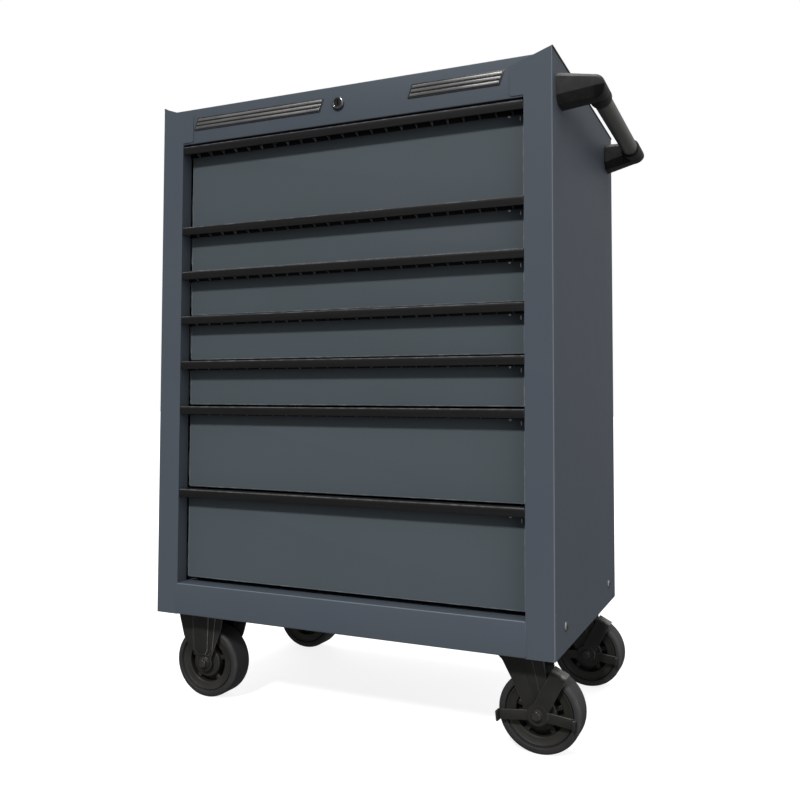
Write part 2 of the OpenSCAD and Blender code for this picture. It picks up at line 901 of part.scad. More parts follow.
// Top plates of the swivel casters, with the ball race and the king pin
module swivel_plates() {
    race_z = caster_h - plate_t - race_h;
    pin_head = 10;
    pin_z = crown_top - crown_t - pin_head;
    color(charcoal) for (y = [caster_y, cab_d - caster_y]) translate([cab_w - caster_x, y, 0]) {
        difference() {
            block([-plate_l / 2, -plate_w / 2, caster_h - plate_t], [plate_l / 2, plate_w / 2, caster_h]);
            plate_holes();
        }
        translate([0, 0, race_z]) cylinder(r = race_r, h = race_h + 0.1);
        translate([0, 0, pin_z]) cylinder(r = king_r, h = race_z - pin_z + eps);
        translate([0, 0, pin_z]) cylinder(r = king_r + 4, h = pin_head - sheet_gap);
    }
}

module caster_bolts() {
    hex_h = 5;
    end = 1;
    z0 = caster_h - plate_t - hex_h;
    z1 = floor_top + doubler_t;
    color("gray") caster_places() for (x = [-1, 1], y = [-1, 1])
        translate([x * plate_hole_x, y * plate_hole_y, 0]) {
            translate([0, 0, z1]) cylinder(r = hex_r, h = hex_h, $fn = 6);
            translate([0, 0, z0]) cylinder(r = bolt_r, h = z1 - z0 + eps);
            translate([0, 0, z0 + end]) cylinder(r = hex_r, h = hex_h - end, $fn = 6);
        }
}

module swivel_leg_outline() {
    z1 = crown_top;
    polygon(concat(
        [[crown_x1, z1], [crown_x0, z1], [crown_x0 / 2, z1 - 12], [-3, z1 - 38]],
        arc([trail, axle_z], leg_tip, 210, 360, 8),
        [[trail + leg_tip, axle_z + 36]]
    ));
}

module swivel_fork() {
    difference() {
        union() {
            block(
                [crown_x0, -leg_out, crown_top - crown_t],
                [crown_x1, leg_out, crown_top]
            );
            for (s = [0, 1]) mirror([0, s, 0]) xz_plate(-leg_out, -leg_in) swivel_leg_outline();
        }
        cylinder(r = king_r + run_gap, h = caster_h);
        translate([trail, 0, axle_z]) y_rod(axle_r + run_gap, -plate_w, plate_w);
    }
}

// Places its children at a swivel caster's upright axis
module at_swivel(rear) {
    translate([cab_w - caster_x, rear ? cab_d - caster_y : caster_y, 0]) children();
}

module swivel_axle() {
    translate([trail, 0, 0]) axle_bolt(lever_y + lever_t + 0.3, leg_out);
}

// Three-armed brake lever in front of the fork, turning on the axle
module brake_lever() {
    arm_w = 15;
    tread_w = 21;
    tab = 20;
    tab_t = 3;
    tread_r = wheel_r + 11;
    // Each arm: angle from +X, reach, width, and where its bent tab starts and ends along Y
    arms = [
        [186, lever_reach - 2, arm_w, -tab + 4, -1],
        [-6, lever_reach - 6, arm_w, -tab + 8, -1],
        [63, tread_r, tread_w, -1, tab]
    ];
    color(charcoal) translate([trail, 0, axle_z]) {
        difference() {
            xz_plate(-lever_y - lever_t, -lever_y) {
                circle(r = arm_w + 3);
                for (a = arms) rotate(a[0]) translate([0, -a[2] / 2]) square([a[1], a[2]]);
            }
            y_rod(axle_r + run_gap, -plate_w, 0);
        }
        for (a = arms) rotate([0, -a[0], 0]) block(
            [a[1] - tab_t, -lever_y + a[3], -a[2] / 2],
            [a[1], -lever_y + a[4], a[2] / 2]
        );
    }
}

// Wheel profile points are [radius, distance along the axle]
module y_turned() {
    rotate([90, 0, 0]) rotate_extrude($fn = 96) children();
}

// Moulded wheel core: hub, dished ring under the tyre, thin web and spokes
module wheel_core() {
    spokes = 5;
    hub_r = 24;
    ring_in = core_r - 12;
    ring_half = wheel_w / 2 - 2.5;
    web_half = 4;
    color([0.2, 0.2, 0.19]) difference() {
        union() {
            y_turned() polygon([
                [axle_r / 2, -hub_half],
                [hub_r - 8, -hub_half],
                [hub_r, -ring_half + 6],
                [hub_r, -web_half],
                [ring_in, -web_half],
                [ring_in, -ring_half + 8],
                [core_r - 2, -ring_half],
                [core_r, -ring_half],
                [core_r, ring_half],
                [core_r - 2, ring_half],
                [ring_in, ring_half - 8],
                [ring_in, web_half],
                [hub_r, web_half],
                [hub_r, ring_half - 6],
                [hub_r - 8, hub_half],
                [axle_r / 2, hub_half]
            ]);
            for (k = [0:spokes - 1]) rotate([0, 360 * k / spokes + 18, 0])
                block([hub_r - 2, -ring_half + 9, -2], [ring_in + 1, ring_half - 9, 2]);
        }
        y_rod(axle_r + run_gap, -plate_w, plate_w);
    }
}

// Solid tyre with rounded edges and a groove on each face
module tyre() {
    half = wheel_w / 2;
    in_r = core_r + 0.05;
    out_r = wheel_r;
    c = out_r - tyre_round;
    color(charcoal) y_turned() polygon(concat(
        [[in_r, -half + 3], [in_r + 1.5, -half + 3], [in_r + 2.5, -half]],
        arc([c, -half + tyre_round], tyre_round, -90, 0),
        arc([c, half - tyre_round], tyre_round, 0, 90),
        [[in_r + 2.5, half], [in_r + 1.5, half - 3], [in_r, half - 3]]
    ));
}

// Places its children at the centre of a wheel, counted as in corners
module at_wheel(k) {
    x = k < 2 ? caster_x : cab_w - caster_x + trail;
    y = k % 2 == 0 ? caster_y : cab_d - caster_y;
    translate([x, y, axle_z]) children();
}

// ---- nodes ----

cab() side_panel();  // side_panel_left
cab() side_panel_right();
cab() back_panel();
cab() bottom_pan();
cab() caster_doublers();
cab() top_tray();
cab() top_mat();
cab() top_fascia();
cab() bottom_rail();
cab() slide_posts();
cab() slide_channels();
cab() edge_trims();
cab() badge_plates();
cab() lock_housing();
cab() lock_plug();
cab() lock_rod();
cab() lock_bar();
cab() handle_arm(false);  // handle_arm_front
cab() handle_arm(true);  // handle_arm_rear
cab() handle_tube();
cab() panel_bolts();
cab() rigid_forks();
cab() rigid_axles();
cab() swivel_plates();
cab() caster_bolts();
cab() at_swivel(false) color(charcoal) swivel_fork();  // fork_front
cab() at_swivel(true) color(charcoal) swivel_fork();  // fork_rear
cab() at_swivel(false) color("dimgray") swivel_axle();  // axle_front
cab() at_swivel(true) color("dimgray") swivel_axle();  // axle_rear
cab() at_swivel(false) brake_lever();  // brake_front
cab() at_swivel(true) brake_lever();  // brake_rear
for (k = [0:3]) {
    cab() at_wheel(k) wheel_core();
    cab() at_wheel(k) tyre();
}
for (i = [1:drawer_count]) {
    cab() drawer(i - 1);
    cab() pull(i - 1);
    cab() slide_middle(i - 1);
}
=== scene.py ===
import math
import bmesh
import bpy
import numpy as np
from mathutils import Matrix, Vector


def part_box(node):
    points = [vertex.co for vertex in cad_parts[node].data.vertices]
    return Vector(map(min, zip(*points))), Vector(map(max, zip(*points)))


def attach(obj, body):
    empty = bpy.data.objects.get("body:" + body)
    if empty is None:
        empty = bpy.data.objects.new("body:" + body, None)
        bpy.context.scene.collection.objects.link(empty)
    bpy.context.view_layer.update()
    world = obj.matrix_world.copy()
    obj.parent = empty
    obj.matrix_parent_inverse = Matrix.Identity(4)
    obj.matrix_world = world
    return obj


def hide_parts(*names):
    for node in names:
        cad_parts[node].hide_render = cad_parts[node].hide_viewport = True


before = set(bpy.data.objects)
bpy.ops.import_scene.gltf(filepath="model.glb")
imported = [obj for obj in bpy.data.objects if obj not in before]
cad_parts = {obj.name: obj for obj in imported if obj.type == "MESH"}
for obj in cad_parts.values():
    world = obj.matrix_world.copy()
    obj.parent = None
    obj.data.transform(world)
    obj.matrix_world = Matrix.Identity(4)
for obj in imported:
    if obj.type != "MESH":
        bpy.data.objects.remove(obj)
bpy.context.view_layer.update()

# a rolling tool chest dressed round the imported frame: painted sheet, black pulls, handle and casters
mm = 0.001  # every shape below is worked out in millimetres, and addPiece puts it into metres
drawerCount = 7


def boxOf(node):
    low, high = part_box(node)
    return np.array(low) / mm, np.array(high) / mm


leftPanel, rightPanel = boxOf("side_panel_left"), boxOf("side_panel_right")
cabLeft, cabRight = leftPanel[0][0], rightPanel[1][0]
cabMiddle = (cabLeft + cabRight) / 2
print("frame loaded:", len(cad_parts), "nodes")


# A part is (points, faces, edge): edge is 1 where a rim is rounded, and the finishes lighten there first, partly as
# wear and partly as a painted highlight; marks above 1 paint highlights and glints.

def gridFaces(rows, cols, wrapCols=True, wrapRows=False):
    # quads between neighbouring rows and columns of a grid of points
    r = np.arange(rows if wrapRows else rows - 1)[:, None]
    c = np.arange(cols if wrapCols else cols - 1)[None, :]
    up, right = (r + 1) % rows, (c + 1) % cols
    return np.stack([r * cols + c, r * cols + right, up * cols + right, up * cols + c], -1).reshape(-1, 4)


def shell(rings, looped=False, edge=None):
    # rings of equal length joined by quads; the first and last are capped, or joined to each other
    rings = np.asarray(rings, float)
    rows, cols = rings.shape[:2]
    faces = [gridFaces(rows, cols, True, looped)]
    if not looped:
        faces += [np.arange(cols)[None, ::-1], np.arange((rows - 1) * cols, rows * cols)[None, :]]
    mark = np.zeros(rows) if edge is None else np.asarray(edge, float)
    return rings.reshape(-1, 3), faces, np.repeat(mark, cols)


def slab(outer, inner):
    # two grids of the same size as the faces of a sheet, closed round their border by quads
    rows, cols = outer.shape[:2]
    count = rows * cols
    face = gridFaces(rows, cols, False)
    ids = np.arange(count).reshape(rows, cols)
    loop = np.concatenate([ids[0, :-1], ids[:-1, -1], ids[-1, :0:-1], ids[:0:-1, 0]])
    after = np.roll(loop, -1)
    side = np.stack([loop, after, after + count, loop + count], -1)
    points = np.concatenate([outer.reshape(-1, 3), inner.reshape(-1, 3)])
    return points, [face, face[:, ::-1] + count, side], np.zeros(2 * count)


def rounded(points, radius, steps=5, closed=True):
    # each corner is cut back until an arc of its radius touches both edges, and the arc fills it
    p = np.asarray(points, float)
    radii = np.broadcast_to(radius, len(p))
    out = []
    for k, b in enumerate(p):
        if radii[k] == 0 or (not closed and k in (0, len(p) - 1)):
            out.append(b[None])
            continue
        u, v = p[k - 1] - b, p[(k + 1) % len(p)] - b
        u, v = u / np.linalg.norm(u), v / np.linalg.norm(v)
        half = math.acos(np.clip(u @ v, -1, 1)) / 2
        cut = radii[k] / math.tan(half)
        middle = b + (u + v) / np.linalg.norm(u + v) * radii[k] / math.sin(half)
        a0, a1 = (math.atan2(*(b + d * cut - middle)[::-1]) for d in (u, v))
        turn = (a1 - a0 + math.pi) % (2 * math.pi) - math.pi
        angle = a0 + turn * np.linspace(0, 1, steps + 1)
        out.append(middle + radii[k] * np.stack([np.cos(angle), np.sin(angle)], -1))
    return np.concatenate(out)


def edgeNormals(path, closed):
    # left-hand normals at every point, lengthened at corners so that both edges move by the same distance
    step = np.roll(path, -1, 0) - path
    n = np.stack([-step[:, 1], step[:, 0]], -1)
    n /= np.maximum(np.linalg.norm(n, axis=1, keepdims=True), 1e-12)
    if not closed:
        n[-1] = n[-2]
    before = np.roll(n, 1, 0)
    if not closed:
        before[0] = n[0]
    return (n + before) / (1 + (n * before).sum(1, keepdims=True))


def counterClockwise(outline):
    x, y = outline[:, 0], outline[:, 1]
    return outline if (x * np.roll(y, -1) - y * np.roll(x, -1)).sum() > 0 else outline[::-1]


def lift(flat, along, axis):
    # outline points in two axes, with the third one given
    order = {"x": (1, 2, 0), "y": (0, 2, 1), "z": (0, 1, 2)}[axis]
    out = np.empty(flat.shape[:-1] + (3,))
    out[..., order[0]], out[..., order[1]], out[..., order[2]] = flat[..., 0], flat[..., 1], along
    return out


def carried(outline, low, high, axis, rim=0.4, steps=3):
    # an outline carried straight from low to high; both rims are quarter circles of radius rim
    outline = counterClockwise(np.asarray(outline, float))
    inward = edgeNormals(outline, True)
    t = np.linspace(0, math.pi / 2, steps + 1)
    inset, rise = rim * (1 - np.sin(t)), rim * (1 - np.cos(t))
    insets = np.concatenate([inset, inset[::-1]])
    levels = np.concatenate([low + rise, high - rise[::-1]])
    rings = [lift(outline + inward * d, w, axis) for d, w in zip(insets, levels)]
    mark = np.sin(2 * t)
    return shell(rings, edge=np.concatenate([mark, mark[::-1]]))


def sheetProfile(path, thickness, bend, side=1, steps=5):
    # a bent sheet seen from its end: its outer path with rounded bends, and the same path moved sideways
    outer = rounded(path, bend, steps, closed=False)
    return np.concatenate([outer, (outer + edgeNormals(outer, False) * thickness * side)[::-1]])


def turned(levels, centre, axis="y", segments=72, looped=False, edge=None):
    # rings of [radius, distance] round an axle; a radius may be an array over the turn, for a hexagon
    angle = np.linspace(0, 2 * math.pi, segments, endpoint=False)
    rings = []
    for radius, along in levels:
        flat = np.stack([np.cos(angle), np.sin(angle)], -1) * np.broadcast_to(radius, segments)[:, None]
        rings.append(lift(flat, along, axis))
    return shell(np.array(rings) + np.asarray(centre, float), looped, edge)


def hexagon(apothem, segments=72):
    # distance from the centre to a hexagon's flat at each angle
    angle = np.linspace(0, 2 * math.pi, segments, endpoint=False)
    return apothem / np.cos((angle + math.pi / 6) % (math.pi / 3) - math.pi / 6)


def hexLevels(apothem, low, high, chamfer=0.12):
    # a nut or bolt head: a hexagon whose corners are cut by a cone at its outer end
    corner = apothem / math.cos(math.pi / 6)
    six = hexagon(apothem)
    step = np.sign(high - low) * chamfer * apothem
    tip = np.minimum(six, corner - chamfer * apothem * 2)
    return [[six, low], [six, high - step], [tip, high]]


def mirrored(part, middle):
    points, faces, edge = part
    return points * [-1, 1, 1] + [2 * middle, 0, 0], faces, edge


def mirroredY(part, middle):
    points, faces, edge = part
    return points * [1, -1, 1] + [0, 2 * middle, 0], faces, edge


def addPiece(name, parts, body, finish, stands=(), crease=34):
    # joins the parts into one mesh with outward faces, and lets it ride on its body
    points = np.concatenate([p[0] for p in parts])
    starts = np.cumsum([0] + [len(p[0]) for p in parts])[:-1]
    loops, sizes = [], []
    for start, part in zip(starts, parts):
        for block in part[1]:
            block = np.asarray(block)
            loops.append((block + start).ravel())
            sizes.append(np.full(block.shape[0], block.shape[1]))
    loops, sizes = np.concatenate(loops), np.concatenate(sizes)
    mesh = bpy.data.meshes.new(name)
    mesh.vertices.add(len(points))
    mesh.vertices.foreach_set("co", (points * mm).ravel())
    mesh.loops.add(len(loops))
    mesh.loops.foreach_set("vertex_index", loops.astype(np.int32))
    mesh.polygons.add(len(sizes))
    mesh.polygons.foreach_set("loop_start", (np.cumsum(sizes) - sizes).astype(np.int32))
    mesh.update(calc_edges=True)
    mesh.validate()
    work = bmesh.new()
    work.from_mesh(mesh)
    bmesh.ops.recalc_face_normals(work, faces=work.faces)
    work.to_mesh(mesh)
    work.free()
    mesh.attributes.new("edge", "FLOAT", "POINT").data.foreach_set("value", np.concatenate([p[2] for p in parts]))
    mesh.polygons.foreach_set("use_smooth", np.ones(len(mesh.polygons), bool))
    mesh.set_sharp_from_angle(angle=math.radians(crease))
    mesh.materials.append(made[finish])
    piece = bpy.data.objects.new(name, mesh)
    bpy.context.scene.collection.objects.link(piece)
    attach(piece, body)
    if stands:
        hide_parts(*stands)


def newGroup(name, inputs, outputs):
    group = bpy.data.node_groups.new(name, "ShaderNodeTree")
    for label, kind, value in inputs:
        socket = group.interface.new_socket(label, in_out="INPUT", socket_type=kind)
        socket.default_value = value
    for label, kind in outputs:
        group.interface.new_socket(label, in_out="OUTPUT", socket_type=kind)
    return group, group.nodes.new("NodeGroupInput"), group.nodes.new("NodeGroupOutput")


def mathNode(tree, operation, a, b=0.0, clamp=False):
    node = tree.nodes.new("ShaderNodeMath")
    node.operation = operation
    node.use_clamp = clamp
    for socket, value in zip(node.inputs, (a, b)):
        if hasattr(value, "links"):
            tree.links.new(value, socket)
        else:
            socket.default_value = value
    return node.outputs[0]


def noiseNode(tree, vector, scale, detail=3.0, rough=0.55):
    node = tree.nodes.new("ShaderNodeTexNoise")
    node.inputs["Detail"].default_value = detail
    node.inputs["Roughness"].default_value = rough
    tree.links.new(vector, node.inputs["Vector"])
    if hasattr(scale, "links"):
        tree.links.new(scale, node.inputs["Scale"])
    else:
        node.inputs["Scale"].default_value = scale
    return node.outputs["Fac"]


def rampNode(tree, value, low, high):
    node = tree.nodes.new("ShaderNodeMapRange")
    node.interpolation_type = "SMOOTHSTEP"
    node.inputs["From Min"].default_value = low
    node.inputs["From Max"].default_value = high
    tree.links.new(value, node.inputs["Value"])
    return node.outputs["Result"]


def grainGroup():
    # fine texture of a surface: two noises, and the coarse one also varies the roughness
    group, into, out = newGroup(
        "surfaceGrain",
        [("Vector", "NodeSocketVector", (0, 0, 0)), ("Fine Scale", "NodeSocketFloat", 900.0),
         ("Broad Scale", "NodeSocketFloat", 9.0), ("Mix", "NodeSocketFloat", 0.35)],
        [("Height", "NodeSocketFloat"), ("Blotch", "NodeSocketFloat")])
    fine = noiseNode(group, into.outputs["Vector"], into.outputs["Fine Scale"], 2.0)
    broad = noiseNode(group, into.outputs["Vector"], into.outputs["Broad Scale"], 4.0)
    part = mathNode(group, "MULTIPLY", broad, into.outputs["Mix"])
    group.links.new(mathNode(group, "ADD", fine, part), out.inputs["Height"])
    group.links.new(broad, out.inputs["Blotch"])
    return group


def wearAndHighlightGroup():
    # worn and lit rims: the edge attribute broken up by noise, partly wear and partly a painted highlight, and a few
    # thin scuffs over the faces
    group, into, out = newGroup(
        "edgeWearAndHighlight",
        [("Vector", "NodeSocketVector", (0, 0, 0)), ("Amount", "NodeSocketFloat", 0.5),
         ("Scuffs", "NodeSocketFloat", 0.2)],
        [("Mask", "NodeSocketFloat")])
    rim = group.nodes.new("ShaderNodeAttribute")
    rim.attribute_name = "edge"
    patches = rampNode(group, noiseNode(group, into.outputs["Vector"], 70.0, 5.0), 0.42, 0.66)
    patches = mathNode(group, "ADD", mathNode(group, "MULTIPLY", patches, 0.6), 0.4)
    onRim = mathNode(group, "MULTIPLY", mathNode(group, "MULTIPLY", rim.outputs["Fac"], patches),
                     into.outputs["Amount"])
    spread = group.nodes.new("ShaderNodeMapping")
    spread.inputs["Scale"].default_value = (6.0, 6.0, 150.0)
    spread.inputs["Rotation"].default_value = (0.3, 0.5, 0.1)
    group.links.new(into.outputs["Vector"], spread.inputs["Vector"])
    lines = rampNode(group, noiseNode(group, spread.outputs[0], 4.0, 6.0, 0.7), 0.69, 0.78)
    onFace = mathNode(group, "MULTIPLY", lines, into.outputs["Scuffs"])
    group.links.new(mathNode(group, "ADD", onRim, onFace, True), out.inputs["Mask"])
    return group


def dustGroup():
    # dust settles on what faces upwards, and gathers in soft patches
    group, into, out = newGroup(
        "dust", [("Vector", "NodeSocketVector", (0, 0, 0)), ("Amount", "NodeSocketFloat", 0.3)],
        [("Mask", "NodeSocketFloat")])
    shape = group.nodes.new("ShaderNodeNewGeometry")
    split = group.nodes.new("ShaderNodeSeparateXYZ")
    group.links.new(shape.outputs["Normal"], split.inputs[0])
    up = rampNode(group, split.outputs["Z"], 0.1, 1.0)
    patches = rampNode(group, noiseNode(group, into.outputs["Vector"], 14.0, 6.0, 0.65), 0.3, 0.8)
    some = mathNode(group, "ADD", mathNode(group, "MULTIPLY", up, 0.8), 0.12)
    both = mathNode(group, "MULTIPLY", some, patches)
    group.links.new(mathNode(group, "MULTIPLY", both, into.outputs["Amount"], True), out.inputs["Mask"])
    return group


def bendHighlightGroup():
    # 1 on the bends of a sheet: there the largest part of the true normal is well below its length; the paint lightens
    #                            these bends as a painted highlight
    group, into, out = newGroup("foldMask", [("Amount", "NodeSocketFloat", 0.4)], [("Mask", "NodeSocketFloat")])
    shape = group.nodes.new("ShaderNodeNewGeometry")
    size = group.nodes.new("ShaderNodeVectorMath")
    size.operation = "ABSOLUTE"
    split = group.nodes.new("ShaderNodeSeparateXYZ")
    group.links.new(shape.outputs["Normal"], size.inputs[0])
    group.links.new(size.outputs[0], split.inputs[0])
    most = mathNode(group, "MAXIMUM", split.outputs["X"], split.outputs["Y"])
    most = mathNode(group, "MAXIMUM", most, split.outputs["Z"])
    fold = rampNode(group, mathNode(group, "SUBTRACT", 1.0, most), 0.03, 0.22)
    group.links.new(mathNode(group, "MULTIPLY", fold, into.outputs["Amount"], True), out.inputs["Mask"])
    return group


groups = {"grain": grainGroup(), "wearAndHighlight": wearAndHighlightGroup(), "dust": dustGroup(), "fold": bendHighlightGroup()}


def useGroup(tree, which, vector, **values):
    node = tree.nodes.new("ShaderNodeGroup")
    node.node_tree = groups[which]
    tree.links.new(vector, node.inputs["Vector"])
    for label, value in values.items():
        node.inputs[label.replace("_", " ")].default_value = value
    return node


def blendColour(tree, amount, a, b):
    node = tree.nodes.new("ShaderNodeMix")
    node.data_type = "RGBA"
    tree.links.new(amount, node.inputs["Factor"])
    for socket, value in zip((node.inputs[6], node.inputs[7]), (a, b)):
        if hasattr(value, "links"):
            tree.links.new(value, socket)
        else:
            socket.default_value = (*value, 1.0)
    return node.outputs[2]


def makeFinish(name, s):
    # colour drifts between two shades; rims and bends lighten to a third, partly as wear and partly as a painted
    # highlight; dust lies on top; grain drives bump and roughness
    material = bpy.data.materials.new(name)
    material.use_nodes = True
    tree = material.node_tree
    shader = tree.nodes["Principled BSDF"]
    place = tree.nodes.new("ShaderNodeTexCoord").outputs["Object"]
    vector = place
    if "stretch" in s:
        spread = tree.nodes.new("ShaderNodeMapping")
        spread.inputs["Scale"].default_value = s["stretch"]
        tree.links.new(place, spread.inputs["Vector"])
        vector = spread.outputs[0]
    grain = useGroup(tree, "grain", vector, Fine_Scale=s["fine"], Broad_Scale=s["broad"], Mix=s["mix"])
    wearAndHighlight = useGroup(tree, "wearAndHighlight", place, Amount=s["wearAndHighlight"], Scuffs=s["scuffs"])
    dust = useGroup(tree, "dust", place, Amount=s["dust"])
    drift = rampNode(tree, grain.outputs["Blotch"], 0.3, 0.7)
    colour = blendColour(tree, drift, s["colour"], s["shade"])
    # bends are lightened toward the rim colour: a painted highlight along each bend
    if "fold" in s:
        fold = tree.nodes.new("ShaderNodeGroup")
        fold.node_tree = groups["fold"]
        fold.inputs["Amount"].default_value = s["fold"]
        colour = blendColour(tree, fold.outputs["Mask"], colour, s["bareAndHighlight"])
    # rims lighten toward the rim colour: partly wear, partly a painted highlight
    colour = blendColour(tree, wearAndHighlight.outputs["Mask"], colour, s["bareAndHighlight"])
    colour = blendColour(tree, dust.outputs["Mask"], colour, (0.42, 0.41, 0.38))
    tree.links.new(colour, shader.inputs["Base Color"])
    rough = mathNode(tree, "ADD", mathNode(tree, "MULTIPLY", drift, s["roughDrift"]), s["rough"])
    rough = mathNode(tree, "ADD", rough, mathNode(tree, "MULTIPLY", dust.outputs["Mask"], 0.4), True)
    tree.links.new(rough, shader.inputs["Roughness"])
    if s["bareMetal"]:
        tree.links.new(mathNode(tree, "ADD", wearAndHighlight.outputs["Mask"], s["metal"], True), shader.inputs["Metallic"])
    else:
        shader.inputs["Metallic"].default_value = s["metal"]
    shader.inputs["Specular IOR Level"].default_value = s["specular"]
    shader.inputs["Coat Weight"].default_value = s["coat"]
    shader.inputs["Coat Roughness"].default_value = 0.15
    bump = tree.nodes.new("ShaderNodeBump")
    bump.inputs["Strength"].default_value = s["bump"]
    bump.inputs["Distance"].default_value = s["depth"] * mm
    tree.links.new(grain.outputs["Height"], bump.inputs["Height"])
    tree.links.new(bump.outputs[0], shader.inputs["Normal"])
    return material


